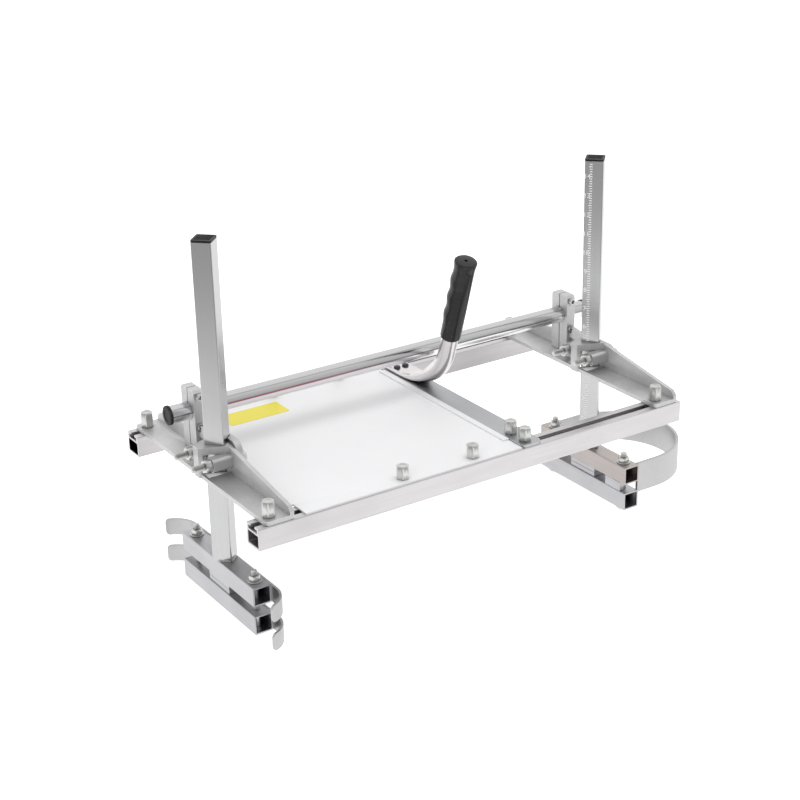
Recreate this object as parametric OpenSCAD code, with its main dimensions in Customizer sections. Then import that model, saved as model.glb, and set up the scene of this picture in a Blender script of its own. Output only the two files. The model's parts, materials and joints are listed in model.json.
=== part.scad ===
// Chainsaw log cutting frame: two slotted rails joined by cast end brackets, each with a
// square post that slides up and down and carries a bar clamp at its foot.
// X runs along the rails, Y from the front rail to the rear one, Z up. The origin is on the
// ground under the middle of the whole frame.

/* [Rails] */
// Length of each rail
rail_l = 610; // [560:1:760]
// Width of a rail
rail_w = 28; // [26:0.5:34]
// Height of a rail
rail_h = 27; // [24:0.5:34]
// Wall of a rail's lower box
rail_wall = 2.5; // [1.5:0.1:3.5]
// Width across both rails, outside to outside
rail_span = 333; // [320:1:400]
// Width of the open slot on top of a rail
slot_w = 9; // [8.8:0.1:11]
// Width of the cavity under the slot
cavity_w = 20; // [19:0.5:22]
// Height of the cavity under the slot
cavity_h = 4.5; // [4.2:0.1:6]
// Thickness of the two lips beside the slot
lip_t = 2.5; // [1.5:0.1:3.5]

/* [Brackets] */
// Distance from the rails' left ends to the left post
left_post_at = 37; // [30:1:60]
// Distance from the rails' left ends to the right post
right_post_at = 595; // [555:1:598]
// Thickness of a bracket's foot plate
base_t = 5; // [4:0.5:7]
// Reach of the foot plate on the outer side of the post
base_reach = 27; // [25:0.5:28]
// Thickness of the upright web
web_t = 5; // [3.5:0.5:6]
// Distance from the post's axis to the near face of the web
web_in = 4; // [3.5:0.5:5]
// Height of the web beside the post
web_h = 38; // [36:1:48]
// Height of the web at its two ends
web_end_h = 15; // [12:1:22]
// Reach of the post housing on the outer side of the post
vee_reach = 29; // [28:0.5:31]
// Half width of the housing where it meets the web
vee_spread = 21.5; // [21:0.5:24]
// Wall of the post housing
vee_wall = 3.5; // [2.5:0.5:4]
// Height of the windows in the housing
window_h = 24; // [21:1:26]

/* [Post clamps] */
// Distance of the two clamp bolts from the post's axis
clamp_bolt_y = 22; // [22:0.5:26]
// Height of the clamp bolts above the rails
clamp_bolt_z = 21; // [20:0.5:25]
// Radius of the clamp and jaw bolts
bolt_r = 4; // [3.5:0.1:4.2]
// Reach of the threaded bolt ends on the outer side
bolt_reach = 46; // [40:1:54]
// Radius of the saddles' shoulders
lug_r = 12; // [8:0.5:13]
// Mean height of the two saddles above the rails
saddle_top = 37.5; // [36:0.5:40]
// Difference of each saddle from that height, up on the left side and down on the right side
lug_shift = 4.5; // [2:0.5:6]

/* [Posts] */
// Side of the square post tube
post_w = 24; // [20:0.5:24.5]
// Wall of the post tube
post_wall = 2; // [1.2:0.1:3]
// Length of a post
post_l = 397; // [340:1:520]
// Offset of the posts from the middle of the frame, along Y
post_y = -5.5; // [-12:0.5:6]
// Clear height between the bar clamps and the rails, which sets the depth of cut
cut_depth = 87; // [40:1:180]

/* [Bar clamps] */
// Side of the square jaw tubes
jaw_w = 24; // [22:0.5:28]
// Wall of the jaw tubes
jaw_wall = 2; // [1.5:0.1:3]
// Length of the jaw tubes
jaw_l = 180; // [170:1:220]
// Gap between the two jaw tubes
jaw_gap = 13; // [9:0.5:20]
// Length of the clamping pads
pad_l = 50; // [30:1:70]
// Width of the clamping pads
pad_w = 20; // [14:0.5:21]
// Distance between a clamp's two bolts
jaw_bolt_pitch = 146; // [130:1:150]
// Length of the spacer block near the front of the right clamp
nose_block_l = 30; // [20:1:38]

/* [Skids and nose guard] */
// Height of a skid strip
skid_h = 22; // [16:0.5:22]
// Thickness of a skid strip
skid_t = 3; // [2:0.5:4]
// Straight length of a skid strip
skid_l = 202; // [185:1:215]
// Radius of the turned ends of a skid strip
skid_r = 35; // [25:1:38]
// Angle through which the ends turn
skid_turn = 76; // [50:1:85]
// Height of the nose guard band
guard_h = 42; // [28:1:50]
// Thickness of the nose guard band
guard_t = 4; // [2.5:0.5:6]
// Reach of the nose guard past the clamp
guard_reach = 120; // [115:1:150]

/* [Thrust tube] */
// Diameter of the thrust tube
tube_d = 22; // [18:0.5:25]
// Wall of the thrust tube
tube_wall = 2; // [1.2:0.1:3]
// Length of the thrust tube
tube_l = 620; // [600:1:780]
// Reach of the thrust tube past the left post
tube_before = 29; // [15:1:31]
// Distance from the post to the thrust tube, along Y
tube_back = 63; // [60:0.5:70]
// Height of the thrust tube's axis above the web's shoulder
tube_over = 18; // [17.5:0.5:30]
// Width of the tube clamps along X
tube_clamp_w = 13; // [12:0.5:14]
// Thickness of each half of a tube clamp along Y
clamp_half_t = 15.5; // [14:0.5:18]
// Height of the tube clamps above the tube's axis
clamp_over = 29; // [27:0.5:34]
// Radius of the tube clamp screws
screw_r = 2.5; // [2:0.1:3]

/* [Deck and brace] */
// Thickness of the sheet panel
panel_t = 2; // [1:0.1:3]
// Distance from the rails' left ends to the panel's left edge
panel_at = 51; // [51:1:56]
// Width of the folded hem beside the brace
hem_w = 8; // [6:1:20]
// Length of the cut in the panel's front left corner
corner_cut = 10; // [4:1:20]
// Distance from the rails' left ends to the middle of the cross brace
brace_at = 376; // [330:1:400]
// Width of the cross brace
brace_w = 30; // [26:0.5:36]
// Thickness of the cross brace
brace_t = 4; // [3:0.5:6]
// Distance of the first panel nut from the rails' left ends
nut_one_at = 198; // [120:1:220]
// Distance of the second panel nut from the rails' left ends
nut_two_at = 297; // [240:1:300]
// Distance from the front rail's outer side to the stop bolt in the brace
stop_bolt_at = 41; // [38:0.5:60]
// Length of the blank sticker
sticker_l = 83; // [60:1:90]
// Width of the blank sticker
sticker_w = 36; // [20:1:40]

/* [Handle] */
// Diameter of the handle bar
bar_d = 22; // [18:0.5:24]
// Wall of the handle bar
bar_wall = 2; // [1.2:0.1:3]
// Lean of the handle's upright towards the front, in degrees
bar_lean = 18; // [8:1:25]
// Radius of the bend
bend_r = 75; // [60:1:90]
// Length of the upright, from the bend's corner to its open top
upright_l = 189; // [172:1:240]
// Length of the grip
grip_l = 116; // [90:1:120]
// Diameter of the grip
grip_d = 27.5; // [26:0.5:32]
// Width of the flattened end
flat_w = 31; // [28:1:36]
// Thickness of the flattened end
flat_t = 5; // [4:0.5:6]
// Length of the flattened end
flat_l = 35; // [30:1:44]

/* [Hidden] */
$fn = 48;
// Gaps: between moving parts, in a screw's hole, and round a plug
slide_gap = 0.3;
hole_gap = 0.2;
plug_gap = 0.05;
// Fasteners
stud_nut_af = 14;
stud_nut_h = 19;
deck_nut_h = 16.5;
stud_sink = 0.8;
hex_af = 13;
nut_h = 7;
clamp_nut_af = 15;
clamp_nut_h = 8.5;
washer_r = 9;
washer_h = 1.6;
dome_r = 9;
dome_h = 6;
thread_over = 6;
tee_head = 18;
tee_head_h = 3.7;
screw_head_r = 4.5;
screw_head_h = 4;
cap_t = 2.5;
plug_l = 12;
// Heights
low_z = dome_h;
up_z = low_z + jaw_w + jaw_gap;
jaw_top = up_z + jaw_w;
rail_z = jaw_top + cut_depth;
deck_z = rail_z + rail_h;
post_top = jaw_top + post_l;
pad_h = (jaw_gap - slide_gap) / 2;
nose_block_w = jaw_w / 2 - bolt_r - 1;
// Places along X, where the origin is midway between the outermost points
tube_cap_t = cap_t + 1;
x_low = min(0, left_post_at - bolt_reach, left_post_at - tube_before - tube_cap_t);
x_high = max(right_post_at + jaw_w / 2 + guard_reach, left_post_at + tube_l - tube_before + tube_cap_t);
rail_x = -(x_low + x_high) / 2;
left_x = rail_x + left_post_at;
right_x = rail_x + right_post_at;
brace_x = rail_x + brace_at;
// Places along Y
rail_y = rail_span / 2 - rail_w / 2;
base_y = rail_span / 2 - 1;
tube_y = post_y + tube_back;
tube_z = deck_z + slide_gap + web_h + tube_over;
jaw_bolt_y = jaw_bolt_pitch / 2;
// Slope of the housing's side walls, and their inner half width at x from the post's axis
vee_flat = 6;
vee_slope = (vee_spread - vee_flat) / (vee_reach + web_in);
vee_side = vee_wall * sqrt(1 + vee_slope * vee_slope);
function vee_half(x) = vee_flat + vee_slope * (x + vee_reach) - vee_side;
// Web, bosses and saddle, from the post's axis
web_out = web_in + web_t;
boss_r = 8;
boss_x = -21.5;
pillar_w = 4.5;
window_round = 6;
saddle_x = web_out + 0.6;
saddle_t = 8.5;
saddle_back = post_w / sqrt(2) + 6;
saddle_w = 2 * clamp_bolt_y + 14;
saddle_foot = 11;
saddle_back_w = 22;
stud_x = -16;
// Opening in the foot plate around the post
foot_open_x = [-24, 1];
foot_open_y = 21;
// Tube clamps, from the post's axis
tube_rise = web_h + tube_over;
clamp_x = web_out - tube_clamp_w;
clamp_slit = 1.5;
screw_x = clamp_x + tube_clamp_w / 2;
screw_up = tube_d / 2 + 10;
screw_down = tube_d / 2 + 6;
screw_reach = clamp_half_t + 8;
clamp_top = tube_rise + clamp_over;
clamp_edge = 3;
rib_x = 0;
cap_foot = web_h - 5;
tower_foot = web_h - 15;
head_room = tube_rise - screw_down - screw_head_r - 1;
// Rounding of the skids' tips
tip_round = 5;
// Nose guard
guard_half = jaw_l / 2 - 3;
guard_leg = guard_reach - guard_half;
// Handle
handle_x = brace_x + 3;
flat_y = rail_y - stud_nut_af / 2 - 3;
flat_start = flat_y - flat_l;
blend_l = 19;
level_y = flat_start - blend_l - 1;
bar_z = brace_t + bar_d / 2;
bend_turn = 90 - bar_lean;
bend_cut = bend_r * tan(bend_turn / 2);
corner_y = level_y - bend_cut;
bar_lap = 0.6;
handle_screw_y = flat_y - flat_l / 2;
handle_screw_xs = [handle_x - 0.21 * flat_w, handle_x + 0.21 * flat_w];

// Shapes that several pieces share

module hex_bar(across_flats, h) cylinder(d = across_flats / cos(30), h = h, $fn = 6);

module rounded_2d(x, y, r) {
    translate([r, 0]) square([x - 2 * r, y]);
    translate([0, r]) square([x, y - 2 * r]);
    for (i = [r, x - r], j = [r, y - r]) translate([i, j]) circle(r);
}

module bevelled_square_2d(side, bevel) {
    h = side / 2;
    b = h - bevel;
    polygon([[-b, -h], [b, -h], [h, -b], [h, b], [b, h], [-b, h], [-h, b], [-h, -b]]);
}

module square_tube_2d(side, wall) difference() {
    bevelled_square_2d(side, 0.8);
    square(side - 2 * wall, center = true);
}

// Turns a shape drawn in the XY plane and raised along Z so that it runs along X, with the
// drawing's x along Y and its y along Z
module along_x() rotate([90, 0, 90]) children();

module along_y() rotate([-90, 0, 0]) children();

module round_bar_x(r, x_from, x_to)
    translate([x_from, 0, 0]) rotate([0, 90, 0]) cylinder(r = r, h = x_to - x_from);

// Rails

module rail_2d() {
    chamber_h = rail_h - lip_t - cavity_h - 2 * rail_wall;
    difference() {
        translate([-rail_w / 2, 0]) polygon([
            [0.8, 0], [rail_w - 0.8, 0], [rail_w, 0.8], [rail_w, rail_h - 0.8],
            [rail_w - 0.8, rail_h], [0.8, rail_h], [0, rail_h - 0.8], [0, 0.8]
        ]);
        translate([-rail_w / 2 + rail_wall, rail_wall])
            square([rail_w - 2 * rail_wall, chamber_h]);
        translate([-cavity_w / 2, rail_h - lip_t - cavity_h]) square([cavity_w, cavity_h]);
        translate([-slot_w / 2, rail_h - lip_t - 1]) square([slot_w, lip_t + 2]);
    }
}

module rail(y) color([0.86, 0.84, 0.84])
    translate([rail_x, y, rail_z]) along_x() linear_extrude(rail_l) rail_2d();

module front_rail() rail(-rail_y);

module rear_rail() rail(rail_y);

// A square head in the slot's cavity and a stud that stands up through what it holds
module tee_bolt(drop, rise) {
    translate([-tee_head / 2, -tee_head / 2, -lip_t - drop - tee_head_h])
        cube([tee_head, tee_head, tee_head_h]);
    translate([0, 0, -lip_t - drop - 0.5]) cylinder(r = bolt_r, h = lip_t + drop + 0.5 + rise);
}

module long_nut(h) difference() {
    intersection() {
        hex_bar(stud_nut_af, h);
        cylinder(r1 = stud_nut_af, r2 = stud_nut_af / 2 + 0.4, h = h + 0.01);
    }
    translate([0, 0, -1]) cylinder(r = bolt_r + hole_gap, h = h + 2);
}

// Panel, sticker and brace

deck_studs = [
    [nut_one_at, -rail_y, panel_t], [nut_two_at, -rail_y, panel_t],
    [nut_one_at, rail_y, panel_t], [nut_two_at, rail_y, panel_t],
    [brace_at - 2, -rail_y, brace_t], [brace_at - 2, rail_y, brace_t]
];

module stud_holes() for (s = deck_studs) translate([rail_x + s[0], s[1], deck_z - 1])
    cylinder(r = bolt_r + hole_gap, h = 20);

panel_end = brace_at - brace_w / 2 - slide_gap;
// The sticker's corner, from the panel's left and rear edges
sticker_place = [58, 69];
sticker_t = 0.3;
// Half width of the notch that leaves the left post room to slide along the rails
post_room = post_w / sqrt(2) + 6;

module deck_panel() color([0.92, 0.92, 0.93]) difference() {
    union() {
        translate([rail_x + panel_at, -base_y, deck_z])
            cube([panel_end - panel_at, 2 * base_y, panel_t]);
        translate([rail_x + panel_end - hem_w, -rail_y + stud_nut_af, deck_z + panel_t])
            cube([hem_w, 2 * (rail_y - stud_nut_af), panel_t]);
    }
    translate([rail_x + panel_at - 1, -base_y - 1, deck_z - 1])
        cube([corner_cut + 1, rail_w + 1, panel_t + 2]);
    translate([rail_x + panel_at - 1, post_y - post_room, deck_z - 1])
        cube([left_post_at + post_room - panel_at + 1, 2 * post_room, panel_t + 2]);
    stud_holes();
}

module blank_sticker() color([0.95, 0.88, 0.25])
    translate([rail_x + panel_at + sticker_place[0], base_y - sticker_place[1], deck_z + panel_t])
        cube([sticker_l, sticker_w, sticker_t]);

module cross_brace() color([0.62, 0.63, 0.63]) difference() {
    translate([brace_x - brace_w / 2, -base_y, deck_z])
        linear_extrude(brace_t) rounded_2d(brace_w, 2 * base_y, 7);
    stud_holes();
    translate([brace_x - 3, -rail_span / 2 + stop_bolt_at, deck_z - 1])
        cylinder(r = bolt_r + hole_gap, h = brace_t + 2);
    for (x = handle_screw_xs) translate([x, handle_screw_y, deck_z - 1])
        cylinder(r = screw_r + hole_gap, h = brace_t + 2);
}

module deck_tee_bolts() color([0.72, 0.72, 0.72])
    for (s = deck_studs) translate([rail_x + s[0], s[1], deck_z])
        tee_bolt(0, s[2] + deck_nut_h - stud_sink);

module deck_long_nuts() color([0.72, 0.72, 0.72])
    for (s = deck_studs) translate([rail_x + s[0], s[1], deck_z + s[2]]) long_nut(deck_nut_h);

// A bolt up through the brace behind the front rail, with its own long nut
module brace_stop_bolt() color([0.72, 0.72, 0.72])
    translate([brace_x - 3, -rail_span / 2 + stop_bolt_at, deck_z]) {
        translate([0, 0, -nut_h]) hex_bar(hex_af, nut_h);
        translate([0, 0, -1]) cylinder(r = bolt_r, h = 1 + brace_t + deck_nut_h - stud_sink);
        translate([0, 0, brace_t]) long_nut(deck_nut_h);
    }

// Handle

module bar_upright_frame() translate([handle_x, corner_y, deck_z + bar_z])
    rotate([bar_lean, 0, 0]) children();

module bar_tube(l) difference() {
    cylinder(d = bar_d, h = l);
    translate([0, 0, -1]) cylinder(d = bar_d - 2 * bar_wall, h = l + 2);
}

// The bend lies in the YZ plane, and the upright starts where it ends
module bar_bend_and_upright() translate([handle_x, level_y, deck_z + bar_z + bend_r])
    rotate([0, -90, 0]) rotate([0, 0, 180]) {
        rotate_extrude(angle = bend_turn) translate([bend_r, 0]) difference() {
            circle(d = bar_d);
            circle(d = bar_d - 2 * bar_wall);
        }
        rotate(bend_turn) translate([bend_r, 0, 0]) along_y() bar_tube(upright_l - bend_cut);
    }

module handle_bar() color([0.78, 0.77, 0.77]) {
    bar_bend_and_upright();
    translate([handle_x, level_y, deck_z + bar_z]) along_y() bar_tube(1);
    translate([handle_x, flat_start, deck_z]) hull() {
        translate([0, -blend_l - bar_lap, bar_z]) along_y()
            cylinder(d = bar_d - 0.4, h = 2 * bar_lap, $fn = 32);
        translate([-flat_w / 2, 0, brace_t]) cube([flat_w, 0.5, flat_t]);
    }
    difference() {
        translate([handle_x - flat_w / 2, flat_start, deck_z + brace_t])
            linear_extrude(flat_t) difference() {
                union() {
                    square([flat_w, flat_l - 8]);
                    rounded_2d(flat_w, flat_l, 8);
                }
            }
        for (x = handle_screw_xs) translate([x, handle_screw_y, deck_z])
            cylinder(r = screw_r + hole_gap, h = 20);
    }
}

module handle_grip() color([0.16, 0.16, 0.16]) bar_upright_frame()
    translate([0, 0, upright_l - grip_l + 1]) difference() {
        union() {
            translate([0, 0, 4]) cylinder(d = grip_d, h = grip_l - 5);
            cylinder(d1 = grip_d - 5, d2 = grip_d, h = 4);
            for (i = [0:3]) translate([0, 3, grip_l * (0.16 + 0.225 * i)]) sphere(d = grip_d);
            translate([0, 0, grip_l - 6]) cylinder(d = grip_d + 3, h = 5);
        }
        translate([0, 0, -1]) cylinder(d = bar_d + 2 * plug_gap, h = grip_l + 2);
    }

module handle_screws() color([0.3, 0.3, 0.3])
    for (x = handle_screw_xs) translate([x, handle_screw_y, deck_z]) {
        translate([0, 0, brace_t + flat_t])
            cylinder(r1 = screw_head_r, r2 = screw_head_r - 1.5, h = 2.5);
        translate([0, 0, -1]) cylinder(r = screw_r, h = brace_t + flat_t + 1.5);
        translate([0, 0, -4]) hex_bar(8, 4);
    }

// Thrust tube

tube_x = left_x - tube_before;

module thrust_tube() color([0.8, 0.79, 0.8]) translate([0, tube_y, tube_z]) difference() {
    round_bar_x(tube_d / 2, tube_x, tube_x + tube_l);
    round_bar_x(tube_d / 2 - tube_wall, tube_x - 1, tube_x + tube_l + 1);
}

module thrust_tube_caps() color([0.13, 0.13, 0.13]) translate([0, tube_y, tube_z]) {
    round_bar_x(tube_d / 2 + 1, tube_x - tube_cap_t, tube_x);
    round_bar_x(tube_d / 2 - tube_wall - plug_gap, tube_x - 1, tube_x + plug_l);
    round_bar_x(tube_d / 2 + 1, tube_x + tube_l, tube_x + tube_l + tube_cap_t);
    round_bar_x(tube_d / 2 - tube_wall - plug_gap, tube_x + tube_l - plug_l, tube_x + tube_l + 1);
}

// Brackets, drawn from the post's axis at the top of the rails

module at_bracket(x) translate([x, post_y, deck_z + slide_gap]) children();

module post_clearance(h) rotate(45)
    translate([0, 0, -1]) linear_extrude(h) square(post_w + 2 * slide_gap, center = true);

module web_2d() {
    front = -base_y - post_y;
    back = base_y - post_y;
    shoulder = vee_spread - 6;
    polygon([
        [front, 0.5], [front, web_end_h - 6], [front + 6, web_end_h],
        [-shoulder, web_h], [shoulder, web_h],
        [back - 6, web_end_h], [back, web_end_h - 6], [back, 0.5]
    ]);
}

// The housing is a collar round the post at its top, and hollow with windows below that
module housing() difference() {
    linear_extrude(web_h) polygon([
        [-vee_reach, -vee_flat], [web_in + 1, -vee_spread],
        [web_in + 1, vee_spread], [-vee_reach, vee_flat]
    ]);
    translate([0, 0, -1]) linear_extrude(base_t + window_h + 1) polygon([
        [vee_wall - vee_reach, -vee_half(vee_wall - vee_reach)],
        [web_in + 2, -vee_half(web_in + 2)],
        [web_in + 2, vee_half(web_in + 2)],
        [vee_wall - vee_reach, vee_half(vee_wall - vee_reach)]
    ]);
    for (side = [0, 1]) mirror([0, side, 0]) window();
}

module window() {
    left = pillar_w - vee_reach;
    right = web_in - 3;
    translate([left, 0, base_t]) cube([right - left, 40, window_h - window_round]);
    translate([left, 0, base_t]) cube([right - left - window_round, 40, window_h]);
    translate([right - window_round, 0, base_t + window_h - window_round]) along_y()
        cylinder(r = window_round, h = 40);
}

// The half of the tube clamp that is cast with the bracket, its leg on the foot plate, and
// the rib from it to the housing
module fixed_clamp_half() {
    y = tube_back - clamp_slit / 2 - clamp_half_t;
    translate([clamp_x, 0, 0]) along_x() linear_extrude(tube_clamp_w) polygon([
        [y, tower_foot], [y + clamp_half_t, tower_foot], [y + clamp_half_t, clamp_top],
        [y + clamp_edge, clamp_top], [y, clamp_top - clamp_edge]
    ]);
    translate([clamp_x, y, base_t - 1]) cube([web_in - clamp_x + 1, clamp_half_t, tower_foot]);
    head_y = y - screw_head_h - 1.5;
    translate([rib_x, 0, 0]) along_x() linear_extrude(web_in - rib_x + 1) polygon([
        [vee_spread - 8, tower_foot + 4], [y + 1, tower_foot + 4], [y + 1, head_room],
        [head_y, head_room], [head_y, web_h + 4], [vee_spread - 8, web_h]
    ]);
}

module tube_bore() translate([0, tube_back, tube_rise])
    round_bar_x(tube_d / 2 + slide_gap, clamp_x - 1, web_out + 1);

module screw_holes() for (z = [tube_rise + screw_up, tube_rise - screw_down])
    translate([screw_x, 0, z]) along_y()
        translate([0, 0, tube_back - screw_reach])
            cylinder(r = screw_r + hole_gap, h = 2 * screw_reach);

module clamp_bores() for (y = [-clamp_bolt_y, clamp_bolt_y]) translate([0, y, clamp_bolt_z])
    round_bar_x(bolt_r + hole_gap, boss_x - 1, saddle_back + 1);

module foot_plate() linear_extrude(base_t) difference() {
    translate([-base_reach, -base_y - post_y])
        rounded_2d(base_reach + web_out, 2 * base_y, 5);
    translate([foot_open_x[0], -foot_open_y])
        square([foot_open_x[1] - foot_open_x[0], 2 * foot_open_y]);
}

module bracket(x) color([0.66, 0.65, 0.65]) at_bracket(x) difference() {
    union() {
        foot_plate();
        translate([web_in, 0, 0]) along_x() linear_extrude(web_t) web_2d();
        housing();
        for (y = [-clamp_bolt_y, clamp_bolt_y])
            translate([boss_x, y - boss_r, clamp_bolt_z - boss_r])
                along_x() linear_extrude(web_in + 1 - boss_x) rounded_2d(2 * boss_r, 2 * boss_r, boss_r / 2);
        fixed_clamp_half();
    }
    post_clearance(web_h + 2);
    clamp_bores();
    tube_bore();
    screw_holes();
    for (y = [-rail_y, rail_y]) translate([stud_x, y - post_y, -1])
        cylinder(r = bolt_r + hole_gap, h = base_t + 2);
}

module left_bracket() bracket(left_x);

module right_bracket() bracket(right_x);

// The notched plate that the two clamp bolts pull against the post
module saddle(x, top) color([0.68, 0.67, 0.67]) at_bracket(x) difference() {
    union() {
        translate([saddle_x, 0, 0]) along_x() linear_extrude(saddle_t) saddle_2d(top);
        translate([saddle_x, -saddle_back_w / 2, saddle_foot])
            cube([saddle_back - saddle_x, saddle_back_w, top - saddle_foot - 4]);
    }
    post_clearance(2 * web_h);
    clamp_bores();
}

module saddle_2d(top) {
    for (y = [lug_r - saddle_w / 2, saddle_w / 2 - lug_r]) translate([y, top - lug_r])
        circle(lug_r);
    translate([lug_r - saddle_w / 2, saddle_foot])
        square([saddle_w - 2 * lug_r, top - saddle_foot]);
    translate([-saddle_w / 2, saddle_foot]) square([saddle_w, top - lug_r - saddle_foot]);
}

module left_saddle() saddle(left_x, saddle_top + lug_shift);

module right_saddle() saddle(right_x, saddle_top - lug_shift);

module clamp_bolts(x) color([0.75, 0.74, 0.7]) at_bracket(x)
    for (y = [-clamp_bolt_y, clamp_bolt_y]) translate([0, y, clamp_bolt_z]) {
        round_bar_x(bolt_r, -bolt_reach, saddle_x + saddle_t + 1);
        translate([saddle_x + saddle_t, 0, 0]) rotate([0, 90, 0]) hex_bar(hex_af, 5.3);
    }

module left_clamp_bolts() clamp_bolts(left_x);

module right_clamp_bolts() clamp_bolts(right_x);

module clamp_nuts(x) color([0.8, 0.8, 0.74]) at_bracket(x)
    for (y = [-clamp_bolt_y, clamp_bolt_y]) translate([boss_x - clamp_nut_h, y, clamp_bolt_z])
        rotate([0, 90, 0]) difference() {
            hex_bar(clamp_nut_af, clamp_nut_h);
            translate([0, 0, -1]) cylinder(r = bolt_r + hole_gap, h = clamp_nut_h + 2);
        }

module left_clamp_nuts() clamp_nuts(left_x);

module right_clamp_nuts() clamp_nuts(right_x);

module tube_clamp_cap(x) color([0.68, 0.67, 0.67]) at_bracket(x) difference() {
    y = tube_back + clamp_slit / 2;
    union() {
        translate([clamp_x, 0, 0]) along_x() linear_extrude(tube_clamp_w) clamp_cap_2d(y);
        translate([clamp_x, y, base_t + hole_gap])
            cube([web_in - hole_gap - clamp_x, clamp_half_t, cap_foot - base_t]);
    }
    tube_bore();
    screw_holes();
}

module clamp_cap_2d(y) polygon([
    [y, cap_foot], [y + clamp_half_t, cap_foot],
    [y + clamp_half_t, clamp_top - clamp_edge],
    [y + clamp_half_t - clamp_edge, clamp_top], [y, clamp_top]
]);

module left_tube_clamp_cap() tube_clamp_cap(left_x);

module right_tube_clamp_cap() tube_clamp_cap(right_x);

module tube_clamp_screws(x) color([0.75, 0.75, 0.75]) at_bracket(x)
    for (z = [tube_rise + screw_up, tube_rise - screw_down])
        translate([screw_x, tube_back - clamp_slit / 2 - clamp_half_t, z]) along_y() {
            translate([0, 0, -screw_head_h]) cylinder(r = screw_head_r, h = screw_head_h);
            translate([0, 0, -1]) cylinder(r = screw_r, h = 2 * clamp_half_t + clamp_slit);
        }

module left_tube_clamp_screws() tube_clamp_screws(left_x);

module right_tube_clamp_screws() tube_clamp_screws(right_x);

module bracket_tee_bolts(x) color([0.72, 0.72, 0.72])
    for (y = [-rail_y, rail_y]) translate([x + stud_x, y, deck_z + slide_gap])
        tee_bolt(2 * slide_gap, base_t + stud_nut_h - stud_sink);

module left_tee_bolts() bracket_tee_bolts(left_x);

module right_tee_bolts() bracket_tee_bolts(right_x);

module bracket_long_nuts(x) color([0.74, 0.73, 0.73])
    for (y = [-rail_y, rail_y]) translate([x + stud_x, y, deck_z + slide_gap + base_t])
        long_nut(stud_nut_h);

module left_long_nuts() bracket_long_nuts(left_x);

module right_long_nuts() bracket_long_nuts(right_x);

// Posts

module post(x) color([0.7, 0.69, 0.69]) translate([x, post_y, jaw_top])
    rotate(45) linear_extrude(post_l) square_tube_2d(post_w, post_wall);

module left_post() post(left_x);

module right_post() post(right_x);

module post_cap(x) color([0.2, 0.2, 0.2]) translate([x, post_y, post_top]) rotate(45) {
    linear_extrude(cap_t) bevelled_square_2d(post_w, 1.5);
    translate([0, 0, -plug_l]) linear_extrude(plug_l + 1)
        square(post_w - 2 * post_wall - 2 * plug_gap, center = true);
}

module left_post_cap() post_cap(left_x);

module right_post_cap() post_cap(right_x);

// Bar clamps

module jaw_tube(x, z, gap) color([0.75, 0.75, 0.76]) difference() {
    translate([x, post_y - jaw_l / 2, z + jaw_w / 2]) along_y()
        linear_extrude(jaw_l) square_tube_2d(jaw_w, jaw_wall);
    for (y = [-jaw_bolt_y, jaw_bolt_y]) translate([x, post_y + y, z - 1])
        cylinder(r = bolt_r + gap, h = jaw_w + 2);
}

module left_upper_jaw() jaw_tube(left_x, up_z, slide_gap);

module left_lower_jaw() jaw_tube(left_x, low_z, hole_gap);

module right_upper_jaw() jaw_tube(right_x, up_z, slide_gap);

module right_lower_jaw() jaw_tube(right_x, low_z, hole_gap);

module pad(x, z) color([0.7, 0.7, 0.71])
    translate([x - pad_w / 2, post_y - pad_l / 2, z]) cube([pad_w, pad_l, pad_h]);

module left_upper_pad() pad(left_x, up_z - pad_h);

module left_lower_pad() pad(left_x, low_z + jaw_w);

module right_upper_pad() pad(right_x, up_z - pad_h);

module right_lower_pad() pad(right_x, low_z + jaw_w);

// A spacer under the upper jaw, beside the front bolt
module nose_block() color([0.72, 0.71, 0.7])
    translate([
        right_x - jaw_w / 2 + 0.4, post_y - jaw_bolt_y - nose_block_w,
        up_z - jaw_gap + slide_gap
    ])
        cube([nose_block_w, nose_block_l, jaw_gap - slide_gap]);

module jaw_nuts(x) color([0.78, 0.78, 0.76])
    for (y = [-jaw_bolt_y, jaw_bolt_y]) translate([x, post_y + y, jaw_top]) difference() {
        union() {
            cylinder(r = washer_r, h = washer_h);
            hex_bar(hex_af, washer_h + nut_h);
        }
        translate([0, 0, -1]) cylinder(r = bolt_r + slide_gap, h = washer_h + nut_h + 2);
    }

module left_jaw_nuts() jaw_nuts(left_x);

module right_jaw_nuts() jaw_nuts(right_x);

// Carriage bolts with domed heads, on which the whole frame stands
module jaw_bolts(x) color([0.75, 0.75, 0.75])
    for (y = [-jaw_bolt_y, jaw_bolt_y]) translate([x, post_y + y, 0]) {
        intersection() {
            cylinder(r = dome_r, h = dome_h);
            translate([0, 0, dome_r + 1]) sphere(r = dome_r + 2);
        }
        translate([0, 0, dome_h - 1])
            cylinder(r = bolt_r, h = jaw_top - dome_h + 1 + washer_h + nut_h + thread_over);
    }

module left_jaw_bolts() jaw_bolts(left_x);

module right_jaw_bolts() jaw_bolts(right_x);

// Skids: a strip along the inner side of each left jaw tube, with both ends turned outwards

// What is cut off a corner of a skid's tip, from the middle of its rounding
module tip_corner_2d() {
    reach = tip_round + 2;
    round_points = [for (turn = [0:30:90]) 1.01 * tip_round * [sin(turn), cos(turn)]];
    polygon(concat(round_points, [[reach, 0], [reach, reach], [0, reach]]));
}

module skid_end() difference() {
    rotate_extrude(angle = skid_turn)
        translate([skid_r - skid_t / 2, 0]) square([skid_t, skid_h]);
    rotate(skid_turn) translate([skid_r - skid_t, -tip_round, skid_h / 2])
        for (side = [0, 1]) mirror([0, 0, side]) translate([0, 0, skid_h / 2 - tip_round])
            along_x() linear_extrude(2 * skid_t) tip_corner_2d();
}

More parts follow.
